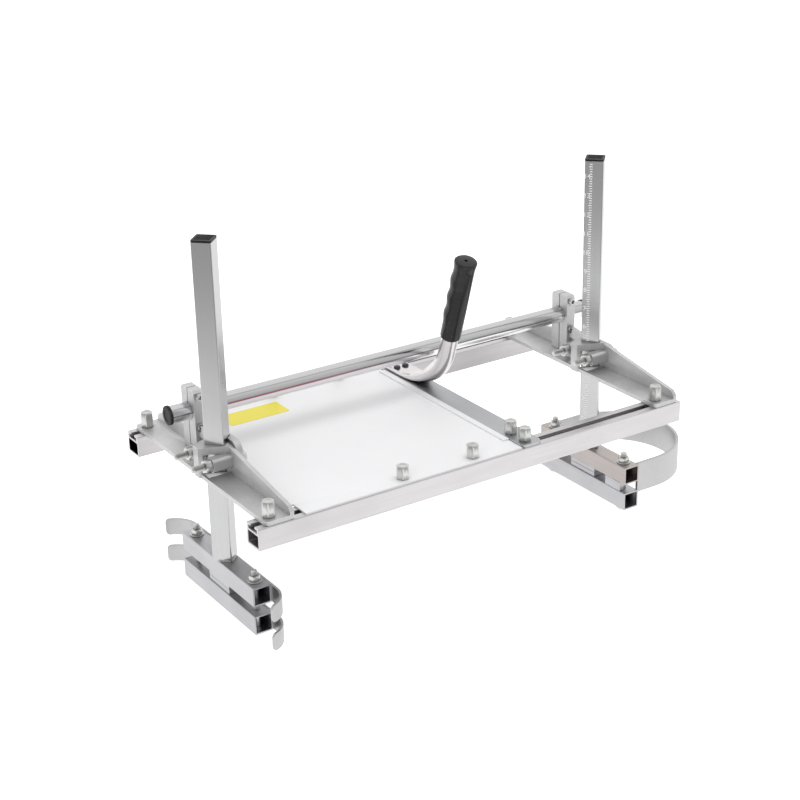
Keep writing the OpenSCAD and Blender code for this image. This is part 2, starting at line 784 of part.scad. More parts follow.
module skid(z) color([0.8, 0.8, 0.8])
    translate([left_x + jaw_w / 2 + skid_t / 2, post_y, z]) {
        translate([-skid_t / 2, -skid_l / 2, 0]) cube([skid_t, skid_l, skid_h]);
        for (side = [0, 1]) mirror([0, side, 0])
            translate([-skid_r, skid_l / 2, 0]) skid_end();
    }

module left_upper_skid() skid(up_z + (jaw_w - skid_h) / 2);

module left_lower_skid() skid(low_z + (jaw_w - skid_h) / 2);

// Nose guard: a band that loops from one end of the right upper jaw to the other

// Its legs are welded to the upper jaw and stand clear of the lower one
module nose_guard() color([0.76, 0.76, 0.76])
    translate([right_x + jaw_w / 2, post_y, jaw_top - guard_h]) difference() {
        union() {
            for (y = [-guard_half, guard_half - guard_t])
                translate([0, y, 0]) cube([guard_leg, guard_t, guard_h]);
            translate([guard_leg, 0, 0]) rotate(-90) rotate_extrude(angle = 180)
                translate([guard_half - guard_t, 0]) square([guard_t, guard_h]);
        }
        translate([-1, -jaw_l / 2, -1]) cube([2, jaw_l, max(1, guard_h - jaw_w + 1)]);
    }

front_rail();
rear_rail();
deck_panel();
blank_sticker();
cross_brace();
deck_tee_bolts();
deck_long_nuts();
brace_stop_bolt();
handle_bar();
handle_grip();
handle_screws();
thrust_tube();
thrust_tube_caps();
left_bracket();
left_saddle();
left_clamp_bolts();
left_clamp_nuts();
left_tube_clamp_cap();
left_tube_clamp_screws();
left_tee_bolts();
left_long_nuts();
left_post();
left_post_cap();
left_upper_jaw();
left_upper_pad();
left_upper_skid();
left_jaw_nuts();
left_lower_jaw();
left_lower_pad();
left_lower_skid();
left_jaw_bolts();
right_bracket();
right_saddle();
right_clamp_bolts();
right_clamp_nuts();
right_tube_clamp_cap();
right_tube_clamp_screws();
right_tee_bolts();
right_long_nuts();
right_post();
right_post_cap();
right_upper_jaw();
right_upper_pad();
nose_block();
nose_guard();
right_jaw_nuts();
right_lower_jaw();
right_lower_pad();
right_jaw_bolts();
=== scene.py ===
"""Looks of a log cutting frame: its finishes, fasteners, welds, ruler marks, handle and studio."""

import json
import math

import bmesh
import bpy
from mathutils import Matrix, Vector

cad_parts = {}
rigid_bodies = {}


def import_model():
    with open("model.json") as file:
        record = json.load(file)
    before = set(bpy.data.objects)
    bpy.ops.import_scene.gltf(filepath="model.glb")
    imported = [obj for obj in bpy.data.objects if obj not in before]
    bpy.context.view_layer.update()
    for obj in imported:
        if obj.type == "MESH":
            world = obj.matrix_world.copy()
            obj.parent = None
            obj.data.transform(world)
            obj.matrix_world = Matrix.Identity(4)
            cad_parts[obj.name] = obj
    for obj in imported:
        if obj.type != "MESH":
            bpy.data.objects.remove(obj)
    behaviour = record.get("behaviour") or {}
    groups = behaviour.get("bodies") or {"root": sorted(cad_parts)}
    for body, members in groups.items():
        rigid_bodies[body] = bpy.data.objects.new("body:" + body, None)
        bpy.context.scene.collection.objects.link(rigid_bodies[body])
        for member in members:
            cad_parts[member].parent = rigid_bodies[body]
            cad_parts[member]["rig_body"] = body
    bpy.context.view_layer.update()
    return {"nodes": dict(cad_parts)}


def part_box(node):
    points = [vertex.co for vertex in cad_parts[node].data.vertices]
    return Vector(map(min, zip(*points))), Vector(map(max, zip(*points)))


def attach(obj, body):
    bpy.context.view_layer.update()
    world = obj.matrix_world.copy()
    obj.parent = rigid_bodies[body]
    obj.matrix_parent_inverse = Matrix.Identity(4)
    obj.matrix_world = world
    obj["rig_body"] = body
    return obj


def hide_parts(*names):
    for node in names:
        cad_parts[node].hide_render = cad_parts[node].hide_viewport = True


bl_info = {
    "name": "Log Cutting Frame",
    "version": (1, 0, 0),
    "blender": (4, 5, 0),
    "location": "View3D > Sidebar > Cutting Frame",
    "description": "Dresses the cutting frame with finishes, fasteners, welds and its handle",
    "category": "Object",
}

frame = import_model()

MM = 0.001
SIDES = ("left", "right")
ROUND_STEPS = 32
HEX_STEPS = 24
SMALLEST_GAP = 1e-7
MERGE_GAP = 1e-6
SMOOTH_ANGLE = math.radians(35)
BEVEL_ANGLE = math.radians(34)
ROD_RADIUS = 4 * MM
ROD_OVERLAP = 0.5 * MM
UP = Vector((0, 0, 1))


# Sizes and colours that a user may change

def length(label, about, default):
    return bpy.props.FloatProperty(name=label, description=about, default=default, unit="LENGTH")


def paint(label, about, default):
    return bpy.props.FloatVectorProperty(
        name=label, description=about, default=default, size=3, min=0, max=1, subtype="COLOR"
    )


class FrameSizes(bpy.types.PropertyGroup):
    """Sizes of the details that dress the frame."""

    sheet_round: length("Sheet edge", "Rounding of sheet and strip edges", 0.35 * MM)
    tube_round: length("Tube edge", "Rounding of drawn tube and rail edges", 0.4 * MM)
    cast_round: length("Cast edge", "Rounding of the castings' edges", 1.0 * MM)
    plastic_round: length("Plastic edge", "Rounding of the moulded caps' edges", 0.7 * MM)
    thread_pitch: length("Thread pitch", "Distance between two threads", 1.25 * MM)
    weld_radius: length("Weld bead", "Radius of a weld bead", 1.9 * MM)
    tick_gap: length("Ruler tick", "Distance between two ruler ticks", 3.175 * MM)
    tick_width: length("Tick width", "Width of a ruler tick", 1.1 * MM)
    figure_height: length("Figure height", "Height of the ruler's numbers", 8.5 * MM)
    grip_swell: length("Grip swell", "Height of the grip's finger swells", 1.7 * MM)


class FrameColours(bpy.types.PropertyGroup):
    """Colours of the frame's finishes."""

    rail: paint("Rails", "Satin aluminium of the two rails", (0.71, 0.69, 0.70))
    post: paint("Posts", "Satin metal of the square posts", (0.57, 0.57, 0.575))
    cast: paint("Castings", "Cast brackets and clamps", (0.70, 0.70, 0.70))
    clamp: paint("Jaw tubes", "Plated bar clamps", (0.56, 0.56, 0.58))
    warm: paint("Warm plating", "Warmer plating of the right upper jaw", (0.53, 0.485, 0.465))
    guard: paint("Guard and skids", "Plated strip", (0.56, 0.56, 0.56))
    fastener: paint("Fasteners", "Plated bolts and nuts", (0.70, 0.70, 0.68))
    brace: paint("Cross brace", "Grey flat bar", (0.54, 0.55, 0.56))
    handle: paint("Handle", "Polished handle tube", (0.80, 0.77, 0.77))
    tube: paint("Thrust tube", "Polished thrust tube", (0.92, 0.92, 0.93))
    # Painted reflection: the reddish line low on the thrust tube.
    red_reflection: paint("Thrust tube red reflection", "Painted reddish reflection low on the thrust tube", (0.36, 0.08, 0.12))
    panel: paint("Panel", "White painted sheet", (0.77, 0.77, 0.78))
    sticker: paint("Sticker", "Plain yellow sticker", (0.75, 0.66, 0.06))
    grip: paint("Grip", "Black rubber", (0.010, 0.010, 0.011))
    cap: paint("Caps", "Black moulded caps", (0.014, 0.014, 0.015))
    screw: paint("Dark screws", "Blackened screws", (0.10, 0.10, 0.11))
    weld: paint("Welds", "Weld beads", (0.58, 0.57, 0.55))
    mark: paint("Ruler marks", "Pale ruler ticks and numbers", (0.95, 0.95, 0.95))


class StudioSettings(bpy.types.PropertyGroup):
    """Camera and light of the studio."""

    azimuth: bpy.props.FloatProperty(
        name="Azimuth", description="Turn of the camera round the frame",
        default=math.radians(-32.86), subtype="ANGLE")
    elevation: bpy.props.FloatProperty(
        name="Elevation", description="Height of the camera above the horizon",
        default=math.radians(22.84), subtype="ANGLE")
    roll: bpy.props.FloatProperty(
        name="Roll", description="Tilt of the camera about its own axis",
        default=math.radians(-1.32), subtype="ANGLE")
    eye: bpy.props.FloatVectorProperty(
        name="Eye", description="Place of the camera", default=(-1.1454, -1.6743, 1.0442),
        size=3, subtype="TRANSLATION")
    lens: bpy.props.FloatProperty(
        name="Lens", description="Focal length on a 36 mm sensor", default=78.24)
    sky: bpy.props.FloatProperty(
        name="Sky", description="Strength of the even light all round", default=0.68)
    softbox: bpy.props.FloatProperty(
        name="Softbox", description="Power of the softbox overhead, in watts", default=17.0)
    fill: bpy.props.FloatProperty(
        name="Fill", description="Power of the fill light on the left, in watts", default=9.0)


# Small tools for meshes

def joined(bm, part, place=None):
    """Adds the closed shape in part to bm at its place, with its faces turned outwards."""
    bmesh.ops.recalc_face_normals(part, faces=part.faces)
    if place is not None:
        bmesh.ops.transform(part, matrix=place, verts=part.verts)
    mesh = bpy.data.meshes.new("part")
    part.to_mesh(mesh)
    part.free()
    bm.from_mesh(mesh)
    bpy.data.meshes.remove(mesh)


def along(start, direction):
    """A place whose own Z axis runs along direction from start."""
    turn = Vector(direction).normalized().to_track_quat("Z", "Y").to_matrix().to_4x4()
    return Matrix.Translation(Vector(start)) @ turn


def spun(bm, place, profile, steps=ROUND_STEPS):
    """Turns a profile of (radius, height) points about the place's Z axis."""
    part = bmesh.new()
    verts = [part.verts.new((radius, 0, height)) for radius, height in profile]
    edges = [part.edges.new(pair) for pair in zip(verts, verts[1:])]
    bmesh.ops.spin(
        part, geom=verts + edges, cent=(0, 0, 0), axis=(0, 0, 1), dvec=(0, 0, 0),
        angle=math.tau, steps=steps, use_merge=True, use_duplicate=False,
    )
    bmesh.ops.remove_doubles(part, verts=part.verts, dist=SMALLEST_GAP)
    joined(bm, part, place)


def ring(part, steps, level):
    """The vertices and edges of a plain ring at a height of its own."""
    verts = bmesh.ops.create_circle(
        part, cap_ends=False, segments=steps, radius=1, matrix=lifted(level))["verts"]
    return verts, list({edge for vert in verts for edge in vert.link_edges})


def skinned(bm, place, rings, steps, closed=False):
    """Bridges rings of (local place, radius function) into a tube, capped unless it closes.

    They are bridged as a stack, since two rings in one plane can come out crossed, and only
    then take their places.
    """
    part = bmesh.new()
    stack = [ring(part, steps, level) for level in range(len(rings))]
    loops = [edges for _, edges in stack]
    pairs = list(zip(loops, loops[1:]))
    if closed:
        pairs.append((loops[-1], loops[0]))
    else:
        bmesh.ops.contextual_create(part, geom=loops[0])
        bmesh.ops.contextual_create(part, geom=loops[-1])
    for first, second in pairs:
        bmesh.ops.bridge_loops(part, edges=first + second)
    for (verts, _), (local, radius_at) in zip(stack, rings):
        for vert in verts:
            angle = math.atan2(vert.co.y, vert.co.x)
            reach = radius_at(angle)
            vert.co = local @ Vector((math.cos(angle) * reach[0], math.sin(angle) * reach[1], 0))
    joined(bm, part, place)


def block(bm, low, high, place=None):
    """A box between two corners."""
    part = bmesh.new()
    low, high = Vector(low), Vector(high)
    size = Matrix.Diagonal((*(high - low), 1))
    bmesh.ops.create_cube(part, size=1, matrix=Matrix.Translation((low + high) / 2) @ size)
    joined(bm, part, place)


def round_at(radius):
    """Half width and half height of a circle, which are the same at every angle."""
    return lambda angle: (radius, radius)


def hex_at(across):
    """Reach of a hexagon with its corners at 0, 60 and so on degrees."""
    def radius_at(angle):
        turn = angle % math.radians(60) - math.radians(30)
        reach = across / 2 / math.cos(turn)
        return reach, reach
    return radius_at


def lifted(height):
    return Matrix.Translation((0, 0, height))


def placed(name, data):
    """A new object with its data, in the scene."""
    obj = bpy.data.objects.new(name, data)
    bpy.context.scene.collection.objects.link(obj)
    return obj


def finished(bm, name, body, material, nodes=(), smooth_angle=SMOOTH_ANGLE):
    """Makes bm a piece that rides on a body and stands for the named nodes."""
    mesh = bpy.data.meshes.new(name)
    bm.to_mesh(mesh)
    bm.free()
    mesh.shade_smooth()
    mesh.set_sharp_from_angle(angle=smooth_angle)
    mesh.materials.append(material)
    obj = placed(name, mesh)
    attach(obj, body)
    if nodes:
        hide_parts(*nodes)
    return obj


def stand_in(bm, node, material, smooth_angle=SMOOTH_ANGLE):
    """Makes bm a piece that stands for a node, with the node's own body."""
    return finished(bm, node + "_finish", frame["nodes"][node]["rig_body"], material,
                    [node], smooth_angle)


def whole_mesh(node):
    """The mesh of a node with its doubled corners merged."""
    bm = bmesh.new()
    bm.from_mesh(frame["nodes"][node].data)
    bmesh.ops.remove_doubles(bm, verts=bm.verts, dist=MERGE_GAP)
    return bm


def flat_faced(node):
    """The mesh of a node with its triangles merged into flat faces."""
    bm = whole_mesh(node)
    bmesh.ops.dissolve_limit(
        bm, angle_limit=math.radians(0.5), use_dissolve_boundaries=False,
        verts=bm.verts, edges=bm.edges, delimit={"NORMAL"},
    )
    return bm


def rounded_copy(node, width, material, segments=2, bm=None):
    """A copy of a node, or bm in its place, with its edges rounded, which stands for the node."""
    obj = stand_in(bm or flat_faced(node), node, material)
    bevel = obj.modifiers.new("edges", "BEVEL")
    bevel.width = width
    bevel.segments = segments
    bevel.limit_method = "ANGLE"
    bevel.angle_limit = BEVEL_ANGLE
    bevel.miter_outer = "MITER_ARC"


def middle(node):
    low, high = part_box(node)
    return (low + high) / 2


def pieces_of(node):
    """The corners (low, high) of each separate solid of a node, from left to right."""
    bm = whole_mesh(node)
    found = []
    left = set(bm.verts)
    while left:
        reached = [left.pop()]
        for vert in reached:
            near = {edge.other_vert(vert) for edge in vert.link_edges} & left
            left -= near
            reached.extend(near)
        axes = list(zip(*(vert.co for vert in reached)))
        found.append((Vector(map(min, axes)), Vector(map(max, axes))))
    bm.free()
    return sorted(found, key=lambda corners: tuple(round(value, 5) for value in corners[0]))


def eased(part):
    """Turns a part between 0 and 1 into one that starts and ends softly."""
    part = min(1.0, max(0.0, part))
    return part * part * (3 - 2 * part)


# Fastener shapes

def plain_rings(*points):
    """Round rings, each given as (height, radius)."""
    return [(lifted(height), round_at(radius)) for height, radius in points]


def hex_nut(bm, place, across, height, hole):
    chamfer = 0.12 * across
    face = round_at(0.48 * across)
    flare, flare_depth = round_at(1.12 * hole), 0.1 * hole
    rings = [
        (lifted(0), face), (lifted(chamfer), hex_at(across)),
        (lifted(height - chamfer), hex_at(across)), (lifted(height), face),
        (lifted(height), flare), (lifted(height - flare_depth), round_at(hole)),
        (lifted(flare_depth), round_at(hole)), (lifted(0), flare),
    ]
    skinned(bm, place, rings, HEX_STEPS, closed=True)


def hex_head(bm, place, across, height):
    """A bolt head with a chamfered top, which is sunk a little in its middle."""
    chamfer, sunk = 0.12 * across, 0.04 * across
    rings = [
        (lifted(0), round_at(0.49 * across)), (lifted(0.02 * across), hex_at(across)),
        (lifted(height - chamfer), hex_at(across)), (lifted(height), round_at(0.47 * across)),
        (lifted(height - sunk), round_at(0.38 * across)),
    ]
    skinned(bm, place, rings, HEX_STEPS)


def threaded_rod(bm, place, radius, start, end, thread_from, pitch):
    """A rod from start to end along Z, with its thread from thread_from to the end."""
    root = radius - 0.55 * pitch
    profile = [(0, start), (radius, start), (radius, thread_from), (root, thread_from)]
    turns = int((end - thread_from - pitch) / pitch)
    for turn in range(turns):
        height = thread_from + pitch * (turn + 0.5)
        profile += [(radius, height - 0.1 * pitch), (radius, height + 0.1 * pitch)]
        profile.append((root, height + 0.5 * pitch))
    profile += [(root, end - 0.4 * pitch), (root - 0.4 * pitch, end), (0, end)]
    spun(bm, place, profile, HEX_STEPS)


def washer(bm, place, radius, height, hole):
    edge = 0.25 * height
    profile = [
        (hole, 0), (radius - edge, 0), (radius, edge), (radius, height - edge),
        (radius - edge, height), (hole, height), (hole, 0),
    ]
    spun(bm, place, profile)


# Shader nodes, whose inputs take a number, a colour or the output of another node

def fed(tree, socket, value):
    if isinstance(value, bpy.types.NodeSocket):
        tree.links.new(value, socket)
    else:
        socket.default_value = value


def node_in(tree, kind, values=(), **settings):
    """A new node with its settings, and with values for inputs given by name or number."""
    node = tree.nodes.new(kind)
    for key, value in settings.items():
        setattr(node, key, value)
    for key, value in dict(values).items():
        fed(tree, node.inputs[key], value)
    return node


def grey(value):
    return (value, value, value, 1)


def rgba(colour):
    return (*colour, 1)


def blended(tree, factor, first, second, mode="MIX"):
    """A mix of two colours."""
    mix = node_in(tree, "ShaderNodeMix", {0: factor, 6: first, 7: second},
                  data_type="RGBA", blend_type=mode)
    return mix.outputs[2]


def either(tree, factor, first, second):
    """A mix of two shaders."""
    return node_in(tree, "ShaderNodeMixShader", {0: factor, 1: first, 2: second}).outputs[0]


def maths(tree, operation, *values):
    return node_in(tree, "ShaderNodeMath", enumerate(values), operation=operation).outputs[0]


def product(tree, first, second):
    return maths(tree, "MULTIPLY", first, second)


def added(tree, start, value, share):
    """The start value with a share of another one added."""
    return maths(tree, "MULTIPLY_ADD", value, share, start)


def dot(tree, first, second):
    """How far two vectors point the same way."""
    node = node_in(tree, "ShaderNodeVectorMath", {0: first, 1: second}, operation="DOT_PRODUCT")
    return node.outputs["Value"]


def noise(tree, vector, scale, detail, roughness):
    """Noise on a vector, from 0 to 1."""
    made = node_in(tree, "ShaderNodeTexNoise", {
        "Vector": vector, "Scale": scale, "Detail": detail, "Roughness": roughness})
    return made.outputs["Fac"]


def spread(tree, value, low, high, to_low, to_high):
    """Turns low to high into to_low to to_high, and keeps to those beyond them."""
    made = node_in(tree, "ShaderNodeMapRange", {
        "Value": value, "From Min": low, "From Max": high,
        "To Min": to_low, "To Max": to_high}, clamp=True)
    return made.outputs["Result"]


# Shader node groups, which are built once and placed in the materials with their own values

FINISH_OUTPUTS = [("Colour", "Color"), ("Roughness", "Float"), ("Height", "Float")]


def group(name, inputs, outputs):
    """An empty group and its own sockets. Each input is (name, kind, default)."""
    tree = bpy.data.node_groups.new(name, "ShaderNodeTree")
    for label, kind, default in inputs:
        socket = tree.interface.new_socket(label, in_out="INPUT", socket_type="NodeSocket" + kind)
        if default is not None:
            socket.default_value = default
    for label, kind in outputs:
        tree.interface.new_socket(label, in_out="OUTPUT", socket_type="NodeSocket" + kind)
    given = tree.nodes.new("NodeGroupInput")
    result = tree.nodes.new("NodeGroupOutput")
    return tree, given.outputs, result.inputs


def ended(tree, result, values):
    """Feeds the outputs of a group, and returns the group."""
    for name, value in values.items():
        fed(tree, result[name], value)
    return tree


def drawn_metal_group():
    """Fine drawn lines and faint smudges, for tube, rail, strip and plate."""
    tree, given, result = group(
        "Drawn metal",
        [("Vector", "Vector", None), ("Lines", "Vector", None), ("Colour", "Color", None),
         ("Roughness", "Float", 0.3), ("Line depth", "Float", 0.3), ("Smudge", "Float", 0.3)],
        FINISH_OUTPUTS)
    fine = noise(tree, given["Lines"], 900, detail=3.0, roughness=0.6)
    coarse = noise(tree, given["Lines"], 210, detail=2.0, roughness=0.5)
    lines = added(tree, product(tree, fine, 0.5), coarse, 0.5)
    cloud = noise(tree, given["Vector"], 14, detail=3.0, roughness=0.6)
    spots = noise(tree, given["Vector"], 160, detail=4.0, roughness=0.65)
    marks = product(tree, spread(tree, lines, 0.35, 0.62, 1, 0), given["Line depth"])
    film = product(tree, spread(tree, cloud, 0.42, 0.7, 0, 1), given["Smudge"])
    specks = product(tree, spread(tree, spots, 0.6, 0.78, 0, 1), given["Smudge"])
    colour, rough = given["Colour"], given["Roughness"]
    for layer, share, tint, roughening in (
            (marks, 0.35, (0.45, 0.45, 0.46, 1), 0.10),
            (film, 0.22, (0.55, 0.56, 0.58, 1), 0.14),
            (specks, 0.18, (0.4, 0.4, 0.42, 1), 0.15)):
        colour = blended(tree, product(tree, layer, share), colour, tint, "MULTIPLY")
        rough = added(tree, rough, layer, roughening)
    return ended(tree, result, {"Colour": colour, "Roughness": rough,
                                "Height": product(tree, lines, given["Line depth"])})


def cast_skin_group():
    """Grainy skin of a sand casting, with darker pits and clouds."""
    tree, given, result = group(
        "Cast skin",
        [("Vector", "Vector", None), ("Colour", "Color", None), ("Roughness", "Float", 0.5),
         ("Grain", "Float", 1.0)],
        FINISH_OUTPUTS)
    pebble = noise(tree, given["Vector"], 620, detail=5.0, roughness=0.7)
    lump = noise(tree, given["Vector"], 120, detail=3.0, roughness=0.5)
    cloud = noise(tree, given["Vector"], 22, detail=3.0, roughness=0.6)
    pits = product(tree, spread(tree, pebble, 0.28, 0.45, 0.4, 0), given["Grain"])
    pitted = blended(tree, pits, given["Colour"], (0.35, 0.35, 0.36, 1), "MULTIPLY")
    clouded = blended(tree, spread(tree, cloud, 0.4, 0.72, 0, 0.35), pitted,
                      (0.62, 0.62, 0.64, 1), "MULTIPLY")
    height = added(tree, product(tree, pebble, 0.6), lump, 0.8)
    return ended(tree, result, {"Colour": clouded,
                                "Roughness": added(tree, given["Roughness"], lump, 0.18),
                                "Height": product(tree, height, given["Grain"])})


def painted_edges_and_hollows_group():
    """A painted line along sharp edges, in the given edge colour, and painted shade with patchy
    dirt in the hollows.
    """
    tree, given, result = group(
        "Painted edges and hollows",
        [("Vector", "Vector", None), ("Colour", "Color", None), ("Edge", "Color", grey(0.9)),
         ("Dirt and shade", "Color", grey(0.2)), ("Edge shading", "Float", 0.5), ("Dirt and shade amount", "Float", 0.5),
         ("Width", "Float", 0.8 * MM)],
        [("Colour", "Color")])
    # Painted light along sharp edges: a dark line of shade on plated parts, a bright highlight on
    # castings.
    softened = node_in(tree, "ShaderNodeBevel", {"Radius": given["Width"]}, samples=6)
    facing = tree.nodes.new("ShaderNodeNewGeometry").outputs["Normal"]
    turned = spread(tree, dot(tree, softened.outputs["Normal"], facing), 0.80, 0.985, 1, 0)
    edge_shading = blended(tree, product(tree, turned, given["Edge shading"]), given["Colour"], given["Edge"])
    # Painted shade in the hollows, from ambient occlusion, made patchy with noise like dirt.
    open_sky = node_in(tree, "ShaderNodeAmbientOcclusion", {"Distance": 6 * MM}, samples=8)
    shut = spread(tree, open_sky.outputs["AO"], 0.15, 0.8, 1, 0)
    patches = noise(tree, given["Vector"], 260, detail=4.0, roughness=0.7)
    shade_and_dirt = product(tree, shut, spread(tree, patches, 0.32, 0.62, 0.35, 1.15))
    with_shade_and_dirt = blended(tree, product(tree, shade_and_dirt, given["Dirt and shade amount"]), edge_shading, given["Dirt and shade"])
    return ended(tree, result, {"Colour": with_shade_and_dirt})


# Painted reflections: brightness of the polished tube by the angle round its axis, in degrees.
TUBE_REFLECTION_BANDS = ((-180, 0.70), (36, 0.70), (43, 0.46), (50, 0.74), (78, 0.90), (87, 0.19),
              (95, 0.95), (150, 0.95), (180, 0.70))


def banded_tube_group():
    """Painted reflection bands along a polished tube, from the angle round its axis, and a painted
    reddish reflection low down.
    """
    tree, given, result = group(
        "Banded tube",
        [("Angle", "Float", 0.0), ("Colour", "Color", None), ("Red reflection", "Color", None),
         ("Red reflection amount", "Float", 0.0)],
        [("Colour", "Color")])
    turn = added(tree, 0.5, given["Angle"], 0.5 / math.pi)
    shade = node_in(tree, "ShaderNodeValToRGB", {"Fac": turn})
    ramp = shade.color_ramp.elements
    while len(ramp) < len(TUBE_REFLECTION_BANDS):
        ramp.new(0.5)
    for stop, (degrees, value) in zip(ramp, TUBE_REFLECTION_BANDS):
        stop.position = degrees / 360 + 0.5
        stop.color = grey(value)
    banded = blended(tree, 1.0, given["Colour"], shade.outputs["Color"], "MULTIPLY")
    # Painted reddish reflection in a narrow band of angles low on the tube.
    near = spread(tree, given["Angle"], math.radians(82), math.radians(88), 0, 1)
    far = spread(tree, given["Angle"], math.radians(91), math.radians(98), 1, 0.12)
    low = product(tree, product(tree, near, far), given["Red reflection amount"])
    return ended(tree, result, {"Colour": blended(tree, low, banded, given["Red reflection"])})


def moulded_group():
    """Faint orange peel and scuffs of moulded plastic, rubber and paint."""
    tree, given, result = group(
        "Moulded skin",
        [("Vector", "Vector", None), ("Colour", "Color", None), ("Roughness", "Float", 0.5),
         ("Scale", "Float", 900.0), ("Scuff", "Float", 0.3)],
        FINISH_OUTPUTS)
    peel = noise(tree, given["Vector"], given["Scale"], detail=3.0, roughness=0.6)
    cloud = noise(tree, given["Vector"], 35, detail=4.0, roughness=0.65)
    scuff = product(tree, spread(tree, cloud, 0.5, 0.75, 0, 1), given["Scuff"])
    scuffed = blended(tree, product(tree, scuff, 0.25), given["Colour"], (0.5, 0.5, 0.52, 1))
    rough = added(tree, added(tree, given["Roughness"], scuff, 0.2), peel, 0.06)
    return ended(tree, result, {"Colour": scuffed, "Roughness": rough, "Height": peel})


GROUPS = {
    "Drawn metal": drawn_metal_group,
    "Cast skin": cast_skin_group,
    "Painted edges and hollows": painted_edges_and_hollows_group,
    "Banded tube": banded_tube_group,
    "Moulded skin": moulded_group,
}


def placed_group(tree, name, values):
    """Puts a shared group into a material, with its own values."""
    shared = bpy.data.node_groups.get(name) or GROUPS[name]()
    return node_in(tree, "ShaderNodeGroup", values, node_tree=shared)


# Finishes

ALONG_X = (0.02, 1, 1)
ALONG_Y = (1, 0.02, 1)
ALONG_Z = (1, 1, 0.02)
EVEN = (1, 1, 1)


def skin_of(name, skin, values, metallic, bump, bump_depth, stretch=None, edges=None, gloss=0.5):
    """A material whose one shader takes a shared skin, with painted edge lines and painted shade in
    the hollows where they are given.
    """
    material = bpy.data.materials.new(name)
    material.use_nodes = True
    tree = material.node_tree
    place = tree.nodes.new("ShaderNodeTexCoord").outputs["Object"]
    made = placed_group(tree, skin, {"Vector": place, **values})
    if stretch:
        lines = node_in(tree, "ShaderNodeMapping", {"Vector": place, "Scale": stretch})
        fed(tree, made.inputs["Lines"], lines.outputs["Vector"])
    colour = made.outputs["Colour"]
    if edges:
        edge_and_hollow_paint = placed_group(tree, "Painted edges and hollows", {"Vector": place, "Colour": colour, **edges})
        colour = edge_and_hollow_paint.outputs["Colour"]
    raised = node_in(tree, "ShaderNodeBump", {
        "Strength": bump, "Distance": bump_depth, "Height": made.outputs["Height"]})
    shader = tree.nodes["Principled BSDF"]
    for key, value in (("Base Color", colour), ("Roughness", made.outputs["Roughness"]),
                       ("Normal", raised.outputs["Normal"]), ("Metallic", metallic),
                       ("Specular IOR Level", gloss)):
        fed(tree, shader.inputs[key], value)
    return material


def drawn_metal(name, colour, roughness, stretch, depth=0.3, smudge=0.3, edge_shading=0.55):
    """Drawn or plated metal, whose lines run along the axis with the small stretch."""
    return skin_of(
        name, "Drawn metal",
        {"Colour": rgba(colour), "Roughness": roughness, "Line depth": depth, "Smudge": smudge},
        metallic=1.0, bump=0.25, bump_depth=0.05 * MM, stretch=stretch,
        # Painted dark edge lines, and painted shade with dirt in the hollows.
        edges={"Edge": grey(0.27), "Dirt and shade": grey(0.16), "Edge shading": edge_shading, "Dirt and shade amount": 0.8 * edge_shading,
               "Width": 0.7 * MM})


def cast_metal(name, colour):
    return skin_of(
        name, "Cast skin", {"Colour": rgba(colour), "Roughness": 0.42, "Grain": 1.1},
        metallic=0.9, bump=0.5, bump_depth=0.12 * MM,
        # Painted bright edge highlights, and near black painted shade with dirt in the hollows.
        edges={"Edge": grey(0.97), "Dirt and shade": grey(0.05), "Edge shading": 0.85, "Dirt and shade amount": 0.5,
               "Width": 0.9 * MM})


def moulded(name, colour, roughness, scale, scuff, bump=0.2, gloss=0.5):
    return skin_of(
        name, "Moulded skin",
        {"Colour": rgba(colour), "Roughness": roughness, "Scale": scale, "Scuff": scuff},
        metallic=0.0, bump=bump, bump_depth=0.08 * MM, gloss=gloss)


def thrust_tube_finish(colours):
    """Polished tube with painted reflection bands, and a painted reddish reflection low on its left
    half.
    """
    material = drawn_metal("thrust_tube_polished", colours.tube, 0.16, ALONG_X, 0.2, 0.2, edge_shading=0.0)
    tree = material.node_tree
    shader = tree.nodes["Principled BSDF"]
    plain = shader.inputs["Base Color"].links[0].from_socket
    place = node_in(tree, "ShaderNodeSeparateXYZ", {
        0: tree.nodes["Texture Coordinate"].outputs["Object"]}).outputs
    start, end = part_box("thrust_tube")
    axis = middle("thrust_tube")
    forward = maths(tree, "SUBTRACT", axis.y, place["Y"])
    upward = maths(tree, "SUBTRACT", place["Z"], axis.z)
    # The painted reddish reflection grows in from the left end and fades out past the middle.
    grown = spread(tree, place["X"], start.x + 45 * MM, start.x + 60 * MM, 0, 0.9)
    full_to = start.x + 0.3 * (end.x - start.x)
    faded = spread(tree, place["X"], full_to, axis.x + 50 * MM, 1, 0)
    banded = placed_group(tree, "Banded tube", {
        "Angle": maths(tree, "ARCTAN2", forward, upward), "Colour": plain,
        "Red reflection": rgba(colours.red_reflection), "Red reflection amount": product(tree, grown, faded)})
    fed(tree, shader.inputs["Base Color"], banded.outputs["Colour"])
    return material


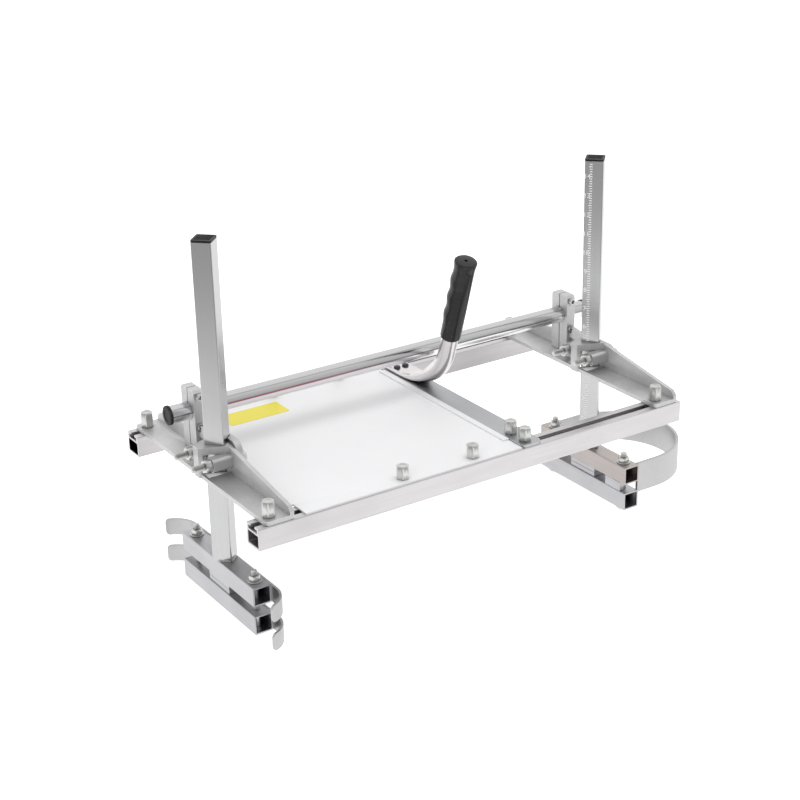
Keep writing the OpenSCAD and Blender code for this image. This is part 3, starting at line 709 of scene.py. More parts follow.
def make_finishes(colours):
    """Every material of the frame, by name."""
    return {
        "rail": drawn_metal("rail_satin", colours.rail, 0.34, ALONG_X, depth=0.35, smudge=0.25),
        "post": drawn_metal("post_satin", colours.post, 0.20, ALONG_Z, depth=0.15),
        "cast": cast_metal("cast_grey", colours.cast),
        "clamp": drawn_metal("clamp_plated", colours.clamp, 0.30, ALONG_Y, depth=0.35, smudge=0.5),
        "warm": drawn_metal("clamp_warm", colours.warm, 0.32, ALONG_Y, depth=0.35, smudge=0.5),
        "guard": drawn_metal("guard_plated", colours.guard, 0.36, EVEN, depth=0.18, smudge=0.35),
        "fastener": drawn_metal("fastener_plated", colours.fastener, 0.26, EVEN, smudge=0.5,
                                edge_shading=0.6),
        "brace": drawn_metal("brace_satin", colours.brace, 0.38, ALONG_Y, smudge=0.4),
        "handle": drawn_metal("handle_polished", colours.handle, 0.17, EVEN, depth=0.15),
        "tube": thrust_tube_finish(colours),
        "panel": moulded("panel_white", colours.panel, 0.42, scale=700, scuff=0.15, bump=0.08),
        "sticker": moulded("sticker_yellow", colours.sticker, 0.35, scale=500, scuff=0.2,
                           bump=0.05),
        "grip": moulded("grip_rubber", colours.grip, 0.16, scale=1300, scuff=0.15, bump=0.08,
                        gloss=0.4),
        "cap": moulded("cap_plastic", colours.cap, 0.38, scale=1500, scuff=0.3, gloss=0.18),
        "screw": drawn_metal("screw_dark", colours.screw, 0.35, EVEN),
        "weld": drawn_metal("weld_bead", colours.weld, 0.30, EVEN, depth=0.4, smudge=0.6,
                            edge_shading=0.6),
        "mark": moulded("ruler_mark", colours.mark, 0.5, scale=900, scuff=0.3, bump=0.05),
    }


finishes = {}


# Operators, one for each piece or group of like pieces

class PieceOperator:
    """What every operator here shares."""

    bl_options = {"REGISTER", "UNDO"}

    def execute(self, context):
        self.sizes = context.scene.frame_sizes
        self.colours = context.scene.frame_colours
        self.make()
        return {"FINISHED"}


class FRAME_OT_finishes(PieceOperator, bpy.types.Operator):
    """Make every finish of the frame"""

    bl_idname = "frame.finishes"
    bl_label = "Finishes"

    def make(self):
        finishes.update(make_finishes(self.colours))


class FRAME_OT_rails(PieceOperator, bpy.types.Operator):
    """Dress the two slotted rails"""

    bl_idname = "frame.rails"
    bl_label = "Rails"

    def make(self):
        for node in ("front_rail", "rear_rail"):
            rounded_copy(node, self.sizes.tube_round, finishes["rail"])


class FRAME_OT_deck(PieceOperator, bpy.types.Operator):
    """Dress the sheet panel, its sticker and the cross brace"""

    bl_idname = "frame.deck"
    bl_label = "Panel and Brace"
    corner = 2.5 * MM

    def make(self):
        rounded_copy("deck_panel", self.sizes.sheet_round, finishes["panel"])
        rounded_copy("cross_brace", self.sizes.sheet_round, finishes["brace"])
        self.sticker()

    def sticker(self):
        bm = bmesh.new()
        block(bm, *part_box("blank_sticker"))
        upright = [edge for edge in bm.edges
                   if abs((edge.verts[0].co - edge.verts[1].co).normalized().z) > 0.9]
        bmesh.ops.bevel(bm, geom=upright, affect="EDGES", offset=self.corner,
                        offset_type="OFFSET", segments=5, profile=0.5, material=-1)
        stand_in(bm, "blank_sticker", finishes["sticker"])


class FRAME_OT_castings(PieceOperator, bpy.types.Operator):
    """Dress the cast brackets, saddles and tube clamp caps"""

    bl_idname = "frame.castings"
    bl_label = "Castings"

    def make(self):
        for side in SIDES:
            for part in ("bracket", "saddle", "tube_clamp_cap"):
                rounded_copy(f"{side}_{part}", self.sizes.cast_round, finishes["cast"], 3)


class FRAME_OT_posts(PieceOperator, bpy.types.Operator):
    """Dress the square posts and their caps"""

    bl_idname = "frame.posts"
    bl_label = "Posts"
    rim = 2.6 * MM
    sunk = 0.7 * MM
    wall = 0.3 * MM
    rib = 1.1 * MM
    rib_below = 0.15 * MM
    rib_root = 0.2 * MM
    edge = 0.25 * MM
    ribs = 6

    def make(self):
        for side in SIDES:
            rounded_copy(side + "_post", self.sizes.tube_round, finishes["post"])
            self.cap(side + "_post_cap")

    def cap(self, node):
        """A cap whose top has a sunk field with ribs."""
        bm = flat_faced(node)
        top = max(bm.faces, key=lambda face: face.calc_center_median().z)
        place = Matrix.Translation((*middle(node).xy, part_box(node)[1].z))
        place @= Matrix.Rotation(math.radians(45), 4, "Z")
        away = place.inverted()
        half = max((away @ vert.co).x for vert in top.verts) - self.rim - self.wall
        bmesh.ops.inset_region(bm, faces=[top], thickness=self.rim, use_even_offset=True)
        bmesh.ops.inset_region(bm, faces=[top], thickness=self.wall, depth=-self.sunk,
                               use_even_offset=True)
        step = 2 * half / self.ribs
        for number in range(self.ribs):
            x = -half + (number + 0.5) * step
            block(bm, (x - self.rib / 2, -half + self.wall, -self.sunk - self.rib_root),
                  (x + self.rib / 2, half - self.wall, -self.rib_below), place)
        rounded_copy(node, self.edge, finishes["cap"], bm=bm)


class FRAME_OT_ruler(PieceOperator, bpy.types.Operator):
    """Put ruler ticks and plain numbers on the right post"""

    bl_idname = "frame.ruler"
    bl_label = "Ruler Marks"
    raised = 0.05 * MM
    bottom_margin = 21.5 * MM
    top_margin = 2 * MM
    ticks_to = 10 * MM
    figures_at = 3.6 * MM
    long_tick = 5 * MM
    middle_tick = 4.3 * MM
    short_tick = 3.4 * MM
    ticks_per_number = 8

    def make(self):
        low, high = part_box("right_post")
        place, face = self.face_place("right_post")
        left = -face
        count = int((high.z - low.z - self.bottom_margin - self.top_margin) / self.sizes.tick_gap)
        half = self.sizes.tick_width / 2
        bm = bmesh.new()
        for tick in range(count + 1):
            numbered = tick % self.ticks_per_number == 0
            halfway = tick % (self.ticks_per_number // 2) == 0
            reach = self.long_tick if numbered else self.middle_tick if halfway else self.short_tick
            height = self.bottom_margin + tick * self.sizes.tick_gap
            end = left + self.ticks_to
            block(bm, (end - reach, height - half, -self.raised),
                  (end, height + half, self.raised), place)
            if numbered:
                self.figure(bm, str(tick // self.ticks_per_number), place,
                            left + self.figures_at, height)
        finished(bm, "right_post_ruler", "right_upright", finishes["mark"])

    def face_place(self, node):
        """The face that looks towards the front left, with X to its right and Y upwards."""
        axis = middle(node)
        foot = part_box(node)[0].z
        out = Vector((-1, -1, 0)).normalized()
        across = Vector((1, -1, 0)).normalized()
        turn = Matrix((across, UP, out)).transposed().to_4x4()
        face = max((vert.co - axis).dot(out) for vert in frame["nodes"][node].data.vertices)
        return Matrix.Translation(Vector((axis.x, axis.y, foot)) + out * face) @ turn, face

    def figure(self, bm, number, place, x, y):
        """A number as a thin solid, centred on a point of the face."""
        curve = bpy.data.curves.new("figure", "FONT")
        curve.body = number
        curve.size = self.sizes.figure_height
        curve.align_x = "CENTER"
        curve.align_y = "CENTER"
        curve.extrude = self.raised
        text = placed("figure", curve)
        bpy.context.view_layer.update()
        mesh = bpy.data.meshes.new_from_object(text.evaluated_get(
            bpy.context.evaluated_depsgraph_get()))
        part = bmesh.new()
        part.from_mesh(mesh)
        bmesh.ops.remove_doubles(part, verts=part.verts, dist=SMALLEST_GAP)
        joined(bm, part, place @ Matrix.Translation((x, y, 0)))
        bpy.data.meshes.remove(mesh)
        bpy.data.objects.remove(text)
        bpy.data.curves.remove(curve)


class FRAME_OT_bar_clamps(PieceOperator, bpy.types.Operator):
    """Dress the jaw tubes and their pads"""

    bl_idname = "frame.bar_clamps"
    bl_label = "Bar Clamps"

    def make(self):
        for side in SIDES:
            for level in ("upper", "lower"):
                warm = (side, level) == ("right", "upper")
                rounded_copy(f"{side}_{level}_jaw", self.sizes.tube_round,
                             finishes["warm" if warm else "clamp"], 3)
                rounded_copy(f"{side}_{level}_pad", self.sizes.sheet_round, finishes["clamp"])
        rounded_copy("nose_block", self.sizes.sheet_round, finishes["clamp"])


class FRAME_OT_skids(PieceOperator, bpy.types.Operator):
    """Dress the skid strips and the nose guard"""

    bl_idname = "frame.skids"
    bl_label = "Skids and Nose Guard"

    def make(self):
        for node in ("left_upper_skid", "left_lower_skid", "nose_guard"):
            rounded_copy(node, self.sizes.sheet_round, finishes["guard"])


class FRAME_OT_thrust_tube(PieceOperator, bpy.types.Operator):
    """Dress the thrust tube and its end caps"""

    bl_idname = "frame.thrust_tube"
    bl_label = "Thrust Tube"
    wall = 2 * MM
    lip = 0.3 * MM
    plug = 10 * MM
    dish = 0.6 * MM

    def make(self):
        low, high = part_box("thrust_tube")
        axis = middle("thrust_tube")
        radius = (high.z - low.z) / 2
        bore, lip = radius - self.wall, self.lip
        reach = high.x - low.x
        profile = [
            (bore, 0), (radius - lip, 0), (radius, lip), (radius, reach - lip),
            (radius - lip, reach), (bore, reach), (bore, 0),
        ]
        bm = bmesh.new()
        spun(bm, along((low.x, axis.y, axis.z), (1, 0, 0)), profile, 64)
        stand_in(bm, "thrust_tube", finishes["tube"])
        self.caps(low.x, high.x, axis, bore)

    def caps(self, left, right, axis, bore):
        low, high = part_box("thrust_tube_caps")
        rim = (high.z - low.z) / 2
        soft = self.sizes.plastic_round
        bm = bmesh.new()
        for end, tip in ((left, low.x), (right, high.x)):
            out = 1 if tip > end else -1
            thick = abs(tip - end)
            profile = [
                (0, -self.plug), (bore, -self.plug), (bore, 0), (rim, 0), (rim, thick - soft),
                (rim - 0.3 * soft, thick - 0.3 * soft), (rim - soft, thick),
                (0.66 * rim, thick), (0.60 * rim, thick - self.dish), (0, thick - self.dish),
            ]
            spun(bm, along((end, axis.y, axis.z), (out, 0, 0)), profile, 48)
        stand_in(bm, "thrust_tube_caps", finishes["cap"])


class FRAME_OT_clamp_bolts(PieceOperator, bpy.types.Operator):
    """Make the bolts and nuts that clamp the posts"""

    bl_idname = "frame.clamp_bolts"
    bl_label = "Post Clamp Bolts"
    head = 5.3 * MM
    thread = 34 * MM
    hole = 4.1 * MM

    def make(self):
        for side in SIDES:
            bolts, nuts = side + "_clamp_bolts", side + "_clamp_nuts"
            rods, hexes = bmesh.new(), bmesh.new()
            for low, high in pieces_of(bolts):
                axis = (low + high) / 2
                start = (high.x - self.head, axis.y, axis.z)
                reach = start[0] - low.x
                threaded_rod(rods, along(start, (-1, 0, 0)), ROD_RADIUS, -ROD_OVERLAP, reach,
                             reach - self.thread, self.sizes.thread_pitch)
                hex_head(rods, along(start, (1, 0, 0)), high.y - low.y, self.head)
            for low, high in pieces_of(nuts):
                axis = (low + high) / 2
                hex_nut(hexes, along((high.x, axis.y, axis.z), (-1, 0, 0)), high.y - low.y,
                        high.x - low.x, self.hole)
            stand_in(rods, bolts, finishes["fastener"])
            stand_in(hexes, nuts, finishes["fastener"])


class FRAME_OT_long_nuts(PieceOperator, bpy.types.Operator):
    """Make the tall nuts and the tee bolts that stand in the rails' slots"""

    bl_idname = "frame.long_nuts"
    bl_label = "Tall Nuts and Tee Bolts"
    head_height = 3.7 * MM
    hole = 4.05 * MM
    chamfer = 1.1 * MM
    hole_chamfer = 0.7 * MM
    smooth_length = 6 * MM
    end_length = 1.6 * MM
    stop_overlap = 1 * MM
    # The rounded end of a stud, as radius and height in millimetres
    end_profile = ((0, -2), (3.9, -2), (3.9, -0.8), (3.4, -0.3), (2.4, -0.05), (0, 0))

    def make(self):
        self.row("deck_long_nuts", "deck_tee_bolts")
        for side in SIDES:
            self.row(side + "_long_nuts", side + "_tee_bolts")
        self.stop_bolt()

    def row(self, nuts, bolts):
        hexes, rods = bmesh.new(), bmesh.new()
        for low, high in pieces_of(nuts):
            self.tall_nut(hexes, low, high)
        for low, high in pieces_of(bolts):
            shoulder = low.z + self.head_height
            block(rods, low, (high.x, high.y, shoulder))
            foot = Matrix.Translation((*((low + high) / 2).xy, shoulder))
            self.stud(rods, foot, high.z - shoulder)
        stand_in(hexes, nuts, finishes["fastener"])
        stand_in(rods, bolts, finishes["fastener"])

    def stud(self, bm, foot, reach):
        """A threaded stud with a rounded end."""
        threaded_rod(bm, foot, ROD_RADIUS, -ROD_OVERLAP, reach - self.end_length,
                     self.smooth_length, self.sizes.thread_pitch)
        spun(bm, foot @ lifted(reach), [(out * MM, up * MM) for out, up in self.end_profile])

    def tall_nut(self, bm, low, high):
        across = high.y - low.y
        height = high.z - low.z
        face = round_at(across * 0.47)
        rings = [
            (lifted(0), face), (lifted(self.chamfer), hex_at(across)),
            (lifted(height - self.chamfer), hex_at(across)), (lifted(height), face),
            (lifted(height), round_at(self.hole + self.hole_chamfer)),
            (lifted(height - self.hole_chamfer), round_at(self.hole)),
        ]
        axis = (low + high) / 2
        skinned(bm, Matrix.Translation((axis.x, axis.y, low.z)), rings, HEX_STEPS)

    def stop_bolt(self):
        """A bolt whose head hangs below the brace and whose nut stands on it."""
        head, nut = sorted(pieces_of("brace_stop_bolt"), key=lambda corners: corners[0].z)
        axis = (head[0] + head[1]) / 2
        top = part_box("cross_brace")[0].z
        bm = bmesh.new()
        hex_head(bm, along((axis.x, axis.y, top), (0, 0, -1)), head[1].y - head[0].y,
                 top - head[0].z)
        foot = Matrix.Translation((axis.x, axis.y, top - self.stop_overlap))
        self.stud(bm, foot, head[1].z - top + self.stop_overlap)
        self.tall_nut(bm, *nut)
        stand_in(bm, "brace_stop_bolt", finishes["fastener"])


class FRAME_OT_tube_screws(PieceOperator, bpy.types.Operator):
    """Make the socket screws of the tube clamps"""

    bl_idname = "frame.tube_screws"
    bl_label = "Tube Clamp Screws"
    head = 4 * MM
    head_edge = 0.5 * MM
    key = 5 * MM
    key_depth = 2.5 * MM
    radius = 2.5 * MM
    smooth_length = 18 * MM
    pitch = 0.8 * MM

    def make(self):
        for side in SIDES:
            node = side + "_tube_clamp_screws"
            low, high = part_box(node)
            wide = (high.x - low.x) / 2
            bm = bmesh.new()
            for z in (low.z + wide, high.z - wide):
                seat = (low.x + wide, low.y + self.head, z)
                self.socket_head(bm, along(seat, (0, -1, 0)), wide)
                threaded_rod(bm, along(seat, (0, 1, 0)), self.radius, -ROD_OVERLAP,
                             high.y - low.y - self.head, self.smooth_length, self.pitch)
            stand_in(bm, node, finishes["fastener"])

    def socket_head(self, bm, place, radius):
        rings = [
            (lifted(0), round_at(radius)), (lifted(self.head - self.head_edge), round_at(radius)),
            (lifted(self.head), round_at(radius - self.head_edge)),
            (lifted(self.head), hex_at(self.key)),
            (lifted(self.head - self.key_depth), hex_at(self.key)),
        ]
        skinned(bm, place, rings, HEX_STEPS)


class FRAME_OT_jaw_bolts(PieceOperator, bpy.types.Operator):
    """Make the dome headed bolts and flange nuts of the bar clamps"""

    bl_idname = "frame.jaw_bolts"
    bl_label = "Bar Clamp Bolts"
    dome = 6 * MM
    dome_rim = 1.5 * MM
    dome_steps = 8
    dome_overlap = 1 * MM
    across = 13 * MM
    hole = 4.3 * MM
    flange = 1.6 * MM
    thread = 40 * MM

    def make(self):
        for side in SIDES:
            bolts, nuts = side + "_jaw_bolts", side + "_jaw_nuts"
            low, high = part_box(bolts)
            nut_low, nut_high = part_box(nuts)
            radius = (high.x - low.x) / 2
            x = (low.x + high.x) / 2
            reach = high.z - low.z
            rods, hexes = bmesh.new(), bmesh.new()
            for y in (low.y + radius, high.y - radius):
                ground = Matrix.Translation((x, y, low.z))
                self.dome_head(rods, ground, radius)
                threaded_rod(rods, ground, ROD_RADIUS, self.dome - self.dome_overlap, reach,
                             reach - self.thread, self.sizes.thread_pitch)
                foot = Matrix.Translation((x, y, nut_low.z))
                washer(hexes, foot, radius, self.flange, self.hole)
                hex_nut(hexes, foot @ lifted(self.flange), self.across,
                        nut_high.z - nut_low.z - self.flange, self.hole)
            stand_in(rods, bolts, finishes["fastener"])
            stand_in(hexes, nuts, finishes["fastener"])

    def dome_head(self, bm, place, radius):
        """A dome whose flat middle stands on the ground."""
        flat = 0.45 * radius
        points = [(0, 0), (flat, 0)]
        for step in range(1, self.dome_steps + 1):
            turn = math.radians(90) * step / self.dome_steps
            points.append((flat + (radius - flat) * math.sin(turn),
                           (self.dome - self.dome_rim) * (1 - math.cos(turn))))
        points += [(radius, self.dome), (0, self.dome)]
        spun(bm, place, points)


class FRAME_OT_handle(PieceOperator, bpy.types.Operator):
    """Make the bent handle bar with its flattened end, its grip and its screws"""

    bl_idname = "frame.handle"
    bl_label = "Handle"
    lean = math.radians(18)
    bend = 75 * MM
    upright = 189 * MM
    radius = 11 * MM
    overlap = 1 * MM
    flat_width = 31 * MM
    flat_thick = 5 * MM
    flat_length = 35 * MM
    blend_length = 19 * MM
    blend_turn = math.radians(38)
    corner_round = 8 * MM
    tip_steps = 8
    blend_steps = 8
    bend_steps = 30
    steps = 48
    squareness = 0.62
    rim_from = 0.66
    rim_rise = 0.16
    hollow = 0.26
    bar_below_top = 6 * MM
    grip_length = 116 * MM
    grip_radius = 13.3 * MM
    flange_radius = 14.8 * MM
    flange_from = 0.9
    swells_from = 0.2
    swells_to = 0.86
    swells = 3.0
    swell_side = math.radians(105)
    grip_steps = 60
    screw_radius = 4.5 * MM
    thread_radius = 2.4 * MM

    def make(self):
        low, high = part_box("handle_bar")
        self.x = (low.x + high.x) / 2
        self.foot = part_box("cross_brace")[1].z
        self.level = self.foot + self.radius
        self.tip = high.y
        self.turned = math.radians(90) - self.lean
        self.level_end = self.tip - self.flat_length - self.blend_length - self.overlap
        cut = self.bend * math.tan(self.turned / 2)
        self.corner = Vector((self.x, self.level_end - cut, self.level))
        self.upward = Vector((0, -math.sin(self.lean), math.cos(self.lean)))
        self.bar()
        self.grip()
        self.screws()

    def section(self, y, z, turn, half_width, half_height, flatness):
        """A ring square to the bar, from a circle (0) to a flat bar with thicker rims (1)."""
        place = Matrix.Translation((self.x, y, z)) @ Matrix.Rotation(turn, 4, "X")
        power = -self.squareness * flatness

        def radius_at(angle):
            across, up = abs(math.cos(angle)), abs(math.sin(angle))
            wide = half_width * max(across, 1e-6) ** power
            high = half_height * max(up, 1e-6) ** power
            rim = (wide * across / half_width - self.rim_from) / self.rim_rise
            return wide, high * (1 - self.hollow * flatness * (1 - eased(rim)))
        return place, radius_at

    def blended_sizes(self, part):
        """Half width, half height and flatness between the flat end (0) and the tube (1)."""
        ease = eased(part)
        half_wide, half_high = self.flat_width / 2, self.flat_thick / 2
        return (half_wide + (self.radius - half_wide) * ease,
                half_high + (self.radius - half_high) * ease, 1 - ease)

    def bar(self):
        """Rings from the tip of the flattened end to the top of the upright."""
        half_flat = self.flat_thick / 2
        flat_z = self.foot + half_flat
        lying = math.radians(90)
        rings = []
        for step in range(self.tip_steps + 1):
            turn = lying * step / self.tip_steps
            inset = self.corner_round * (1 - math.sin(turn))
            rings.append(self.section(self.tip - self.corner_round * (1 - math.cos(turn)), flat_z,
                                      lying, self.flat_width / 2 - inset, half_flat, 1))
        outer = self.bend + self.radius
        straight = self.blend_length + self.overlap
        blend = straight + self.bend * self.blend_turn
        for step in range(self.blend_steps + 1):
            reach = straight * step / self.blend_steps
            wide, high, flatness = self.blended_sizes(reach / blend)
            rings.append(self.section(self.level_end + straight - reach, self.foot + high, lying,
                                      wide, high, flatness))
        for step in range(1, self.bend_steps + 1):
            turn = self.turned * step / self.bend_steps
            wide, high, flatness = self.blended_sizes((straight + self.bend * turn) / blend)
            rings.append(self.section(
                self.level_end - (outer - high) * math.sin(turn),
                self.foot + outer - (outer - high) * math.cos(turn),
                lying - turn, wide, high, flatness))
        for reach in (0.5 * self.upright, self.upright - self.bar_below_top):
            point = self.corner + self.upward * reach
            rings.append(self.section(point.y, point.z, lying - self.turned, self.radius,
                                      self.radius, 0))
        bm = bmesh.new()
        skinned(bm, Matrix.Identity(4), rings, self.steps)
        stand_in(bm, "handle_bar", finishes["handle"], smooth_angle=math.radians(50))

    def swollen(self, height):
        """The outline of the grip at a height, with its finger swells on the far side."""
        part = height / self.grip_length
        wave = 0.0
        if self.swells_from < part < self.swells_to:
            share = (part - self.swells_from) / (self.swells_to - self.swells_from)
            wave = 0.5 - 0.5 * math.cos(math.tau * self.swells * share)
        wider = max(0.0, (part - self.flange_from) / (1 - self.flange_from))
        body = self.grip_radius + (self.flange_radius - self.grip_radius) * wider

        def radius_at(angle):
            facing = max(0.0, math.cos(angle - self.swell_side)) ** 0.8
            reach = body + self.sizes.grip_swell * wave * facing
            return reach, reach
        return radius_at

    def grip(self):
        """A rubber sleeve with finger swells and a small hole in its end."""
        length, base, flange = self.grip_length, self.grip_radius, self.flange_radius
        place = Matrix.Translation(
            self.corner + self.upward * (self.upright - length + self.overlap))
        place = place @ Matrix.Rotation(self.lean, 4, "X")
        rings = plain_rings((0, 11.1 * MM), (0, base - 2 * MM), (0.6 * MM, base - 1 * MM),
                            (1.8 * MM, base - 0.3 * MM))
        for step in range(self.grip_steps + 1):
            height = 3 * MM + (length - 6 * MM) * step / self.grip_steps
            rings.append((lifted(height), self.swollen(height)))
        rings += plain_rings(
            (length - 1.4 * MM, flange - 0.5 * MM), (length - 0.4 * MM, flange - 1.6 * MM),
            (length, flange - 3.2 * MM), (length, 2.2 * MM), (length - 4 * MM, 2.0 * MM))
        bm = bmesh.new()
        skinned(bm, place, rings, self.steps)
        stand_in(bm, "handle_grip", finishes["grip"])

    def screws(self):
        """Round screws on the flattened end, with nuts below the brace."""
        wide, thread = self.screw_radius, self.thread_radius
        top = self.foot + self.flat_thick
        bm = bmesh.new()
        for low, high in pieces_of("handle_screws"):
            axis = (low + high) / 2
            profile = [(0, -10 * MM), (thread, -10 * MM), (thread, -0.8 * MM), (wide, -0.8 * MM),
                       (wide, 0.6 * MM), (0.86 * wide, 1.7 * MM), (0.5 * wide, 2.4 * MM),
                       (0, 2.5 * MM)]
            spun(bm, Matrix.Translation((axis.x, axis.y, top)), profile)
            hex_nut(bm, Matrix.Translation((axis.x, axis.y, low.z)), 8 * MM, 4 * MM, 2.5 * MM)
        stand_in(bm, "handle_screws", finishes["screw"])


class FRAME_OT_welds(PieceOperator, bpy.types.Operator):
    """Lay the weld beads of the posts, skids and nose guard"""

    bl_idname = "frame.welds"
    bl_label = "Welds"
    guard_side = 4.3 * MM
    guard_end = 3 * MM
    guard_gap = 0.4 * MM
    skid_front = 12 * MM
    skid_back = 26 * MM
    skid_bead = 14 * MM

    def bead(self, bm, start, end):
        """Overlapping drops of metal from start to end."""
        start, end = Vector(start), Vector(end)
        radius = self.sizes.weld_radius
        count = max(2, int((end - start).length / (0.75 * radius)))
        for step in range(count + 1):
            point = start.lerp(end, step / count)
            size = radius * (1 + 0.14 * math.sin(2.1 * step) + 0.08 * math.sin(5.3 * step))
            part = bmesh.new()
            bmesh.ops.create_icosphere(part, subdivisions=2, radius=size)
            joined(bm, part, Matrix.Translation(point))

    def make(self):
        radius = self.sizes.weld_radius
        for side in SIDES:
            low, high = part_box(side + "_post")
            axis = middle(side + "_post")
            half = (high.x - low.x) / 2
            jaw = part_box(side + "_upper_jaw")
            reach = (jaw[1].x - jaw[0].x) / 2 - radius
            foot = low.z + 0.3 * radius
            bm = bmesh.new()
            for way in (-1, 1):
                tip = (axis.x, axis.y + way * half, foot)
                for out in (-1, 1):
                    edge = (axis.x + out * reach, axis.y + way * (half - reach), foot)
                    self.bead(bm, edge, tip)
            finished(bm, side + "_post_weld", side + "_upright", finishes["weld"])
        self.guard_welds()
        self.skid_welds()

    def guard_welds(self):
        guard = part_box("nose_guard")
        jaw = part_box("right_upper_jaw")
        bm = bmesh.new()
        x = jaw[1].x + self.guard_gap
        for y in (guard[0].y + self.guard_side, guard[1].y - self.guard_side):
            self.bead(bm, (x, y, jaw[0].z + self.guard_end), (x, y, jaw[1].z - self.guard_end))
        finished(bm, "nose_guard_weld", "right_upright", finishes["weld"])

    def skid_welds(self):
        for level, body in (("upper", "left_upright"), ("lower", "left_lower_clamp")):
            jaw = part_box(f"left_{level}_jaw")
            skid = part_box(f"left_{level}_skid")
            bm = bmesh.new()
            for y in (jaw[0].y + self.skid_front, middle("left_upper_jaw").y,
                      jaw[1].y - self.skid_back):
                for z in (skid[0].z, skid[1].z):
                    self.bead(bm, (jaw[1].x, y, z), (jaw[1].x, y + self.skid_bead, z))
            finished(bm, f"left_{level}_skid_weld", body, finishes["weld"])


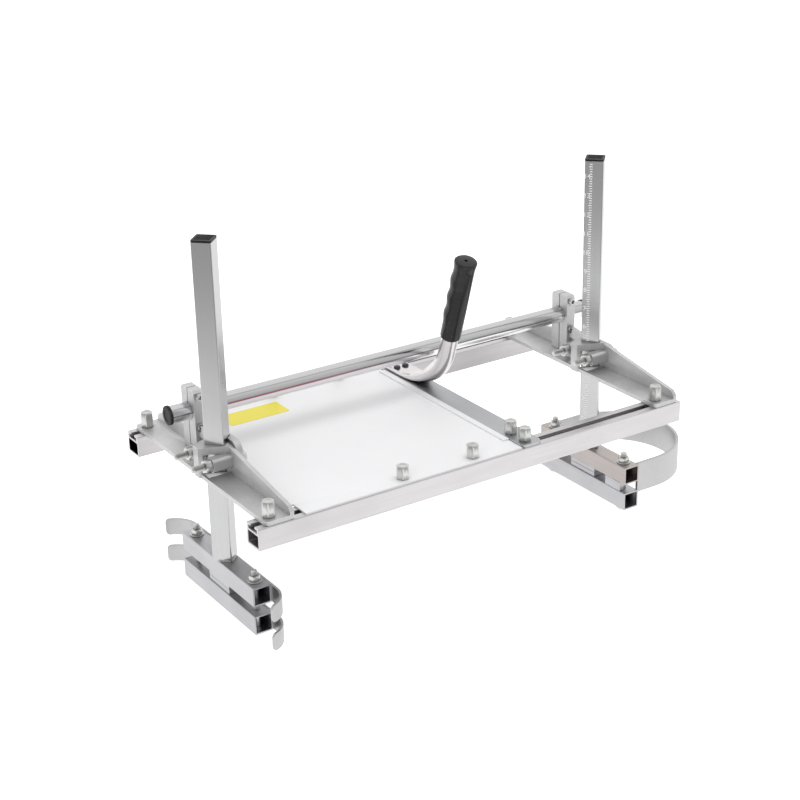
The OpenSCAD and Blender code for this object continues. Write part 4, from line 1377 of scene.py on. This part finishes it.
class FRAME_OT_studio(PieceOperator, bpy.types.Operator):
    """Set up the floor, the lights and the camera"""

    bl_idname = "frame.studio"
    bl_label = "Studio"
    floor_half = 9.0
    dark_floor_way = (-0.45, -0.9, 0)
    bright_sky_way = (0.55, 0.75, 0.25)

    def make(self):
        self.studio = bpy.context.scene.frame_studio
        bpy.context.scene.view_settings.view_transform = "Standard"
        self.floor()
        self.world()
        self.lamp("softbox", place=(0.15, -0.1, 1.9), aim=(0, 0, 0.2), size=1.5,
                  power=self.studio.softbox)
        self.lamp("fill", place=(-1.9, -1.2, 1.1), aim=(0, 0, 0.25), size=1.1,
                  power=self.studio.fill)
        self.camera()

    def floor(self):
        part, bm = bmesh.new(), bmesh.new()
        bmesh.ops.create_grid(part, x_segments=1, y_segments=1, size=self.floor_half)
        joined(bm, part)
        mesh = bpy.data.meshes.new("floor")
        bm.to_mesh(mesh)
        bm.free()
        placed("floor", mesh)
        mesh.materials.append(self.floor_material())

    def floor_material(self):
        """White to the camera, and darker in reflections towards the front left."""
        material = bpy.data.materials.new("floor_white")
        material.use_nodes = True
        tree = material.node_tree
        tree.nodes.clear()
        rays = tree.nodes.new("ShaderNodeLightPath").outputs
        place = tree.nodes.new("ShaderNodeNewGeometry").outputs["Position"]
        mirrored = spread(tree, dot(tree, place, self.dark_floor_way), 0.5, 1.15, 0.95, 0.20)
        seen = blended(tree, rays["Is Camera Ray"], grey(0), grey(0.72))
        glow = node_in(tree, "ShaderNodeEmission", {
            "Color": blended(tree, rays["Is Glossy Ray"], seen, mirrored), "Strength": 1.0})
        matte, dark = (node_in(tree, "ShaderNodeBsdfDiffuse", {"Color": grey(value)}).outputs[0]
                       for value in (0.8, 0.25))
        lit = either(tree, rays["Is Glossy Ray"], matte, dark)
        both = node_in(tree, "ShaderNodeAddShader", {0: lit, 1: glow.outputs[0]})
        node_in(tree, "ShaderNodeOutputMaterial", {"Surface": both.outputs[0]})
        return material

    def world(self):
        """White to the camera, an even light, and brighter in reflections towards the back."""
        world = bpy.data.worlds.new("studio")
        bpy.context.scene.world = world
        world.use_nodes = True
        tree = world.node_tree
        tree.nodes.clear()
        rays = tree.nodes.new("ShaderNodeLightPath").outputs
        way = tree.nodes.new("ShaderNodeTexCoord").outputs["Generated"]
        mirrored = spread(tree, dot(tree, way, self.bright_sky_way), -0.55, 0.35, 0.40, 1.0)
        even, mirror, white = (
            node_in(tree, "ShaderNodeBackground", {"Color": colour, "Strength": power}).outputs[0]
            for colour, power in ((grey(1), self.studio.sky), (mirrored, 1.0), (grey(1), 1.0)))
        unseen = either(tree, rays["Is Glossy Ray"], even, mirror)
        both = either(tree, rays["Is Camera Ray"], unseen, white)
        node_in(tree, "ShaderNodeOutputWorld", {"Surface": both})

    def lamp(self, name, place, aim, size, power):
        light = bpy.data.lights.new(name, "AREA")
        light.shape = "SQUARE"
        light.size = size
        light.energy = power
        obj = placed(name, light)
        obj.visible_glossy = False
        obj.location = place
        obj.rotation_euler = (Vector(place) - Vector(aim)).to_track_quat("Z", "Y").to_euler()

    def camera(self):
        turn, rise, roll = self.studio.azimuth, self.studio.elevation, self.studio.roll
        level = Vector((math.cos(turn), math.sin(turn), 0))
        back = Vector((math.sin(turn) * math.cos(rise), -math.cos(turn) * math.cos(rise),
                       math.sin(rise)))
        right = level * math.cos(roll) + back.cross(level) * math.sin(roll)
        up = back.cross(right)
        lens = bpy.data.cameras.new("camera")
        lens.lens = self.studio.lens
        lens.clip_end = 50
        obj = placed("camera", lens)
        obj.matrix_world = (Matrix.Translation(Vector(self.studio.eye))
                            @ Matrix((right, up, back)).transposed().to_4x4())
        bpy.context.scene.camera = obj


OPERATORS = (
    FRAME_OT_finishes, FRAME_OT_rails, FRAME_OT_deck, FRAME_OT_castings, FRAME_OT_posts,
    FRAME_OT_ruler, FRAME_OT_bar_clamps, FRAME_OT_skids, FRAME_OT_thrust_tube,
    FRAME_OT_clamp_bolts, FRAME_OT_long_nuts, FRAME_OT_tube_screws, FRAME_OT_jaw_bolts,
    FRAME_OT_handle, FRAME_OT_welds, FRAME_OT_studio,
)


class FRAME_PT_panel(bpy.types.Panel):
    """Lists the steps that dress the frame."""

    bl_idname = "FRAME_PT_panel"
    bl_label = "Cutting Frame"
    bl_space_type = "VIEW_3D"
    bl_region_type = "UI"
    bl_category = "Cutting Frame"

    def draw(self, context):
        for operator in OPERATORS:
            self.layout.operator(operator.bl_idname)
        for settings in (context.scene.frame_sizes, context.scene.frame_colours,
                         context.scene.frame_studio):
            for name in settings.bl_rna.properties.keys():
                if name not in ("rna_type", "name"):
                    self.layout.prop(settings, name)


GROUP_CLASSES = (FrameSizes, FrameColours, StudioSettings)


def register():
    for made in (*GROUP_CLASSES, *OPERATORS, FRAME_PT_panel):
        bpy.utils.register_class(made)
    bpy.types.Scene.frame_sizes = bpy.props.PointerProperty(type=FrameSizes)
    bpy.types.Scene.frame_colours = bpy.props.PointerProperty(type=FrameColours)
    bpy.types.Scene.frame_studio = bpy.props.PointerProperty(type=StudioSettings)


def unregister():
    del bpy.types.Scene.frame_studio
    del bpy.types.Scene.frame_colours
    del bpy.types.Scene.frame_sizes
    for made in (FRAME_PT_panel, *reversed(OPERATORS), *reversed(GROUP_CLASSES)):
        bpy.utils.unregister_class(made)


def main():
    """Dresses the frame step by step."""
    register()
    for operator in OPERATORS:
        getattr(bpy.ops.frame, operator.bl_idname.split(".")[1])()


if __name__ == "__main__":
    main()
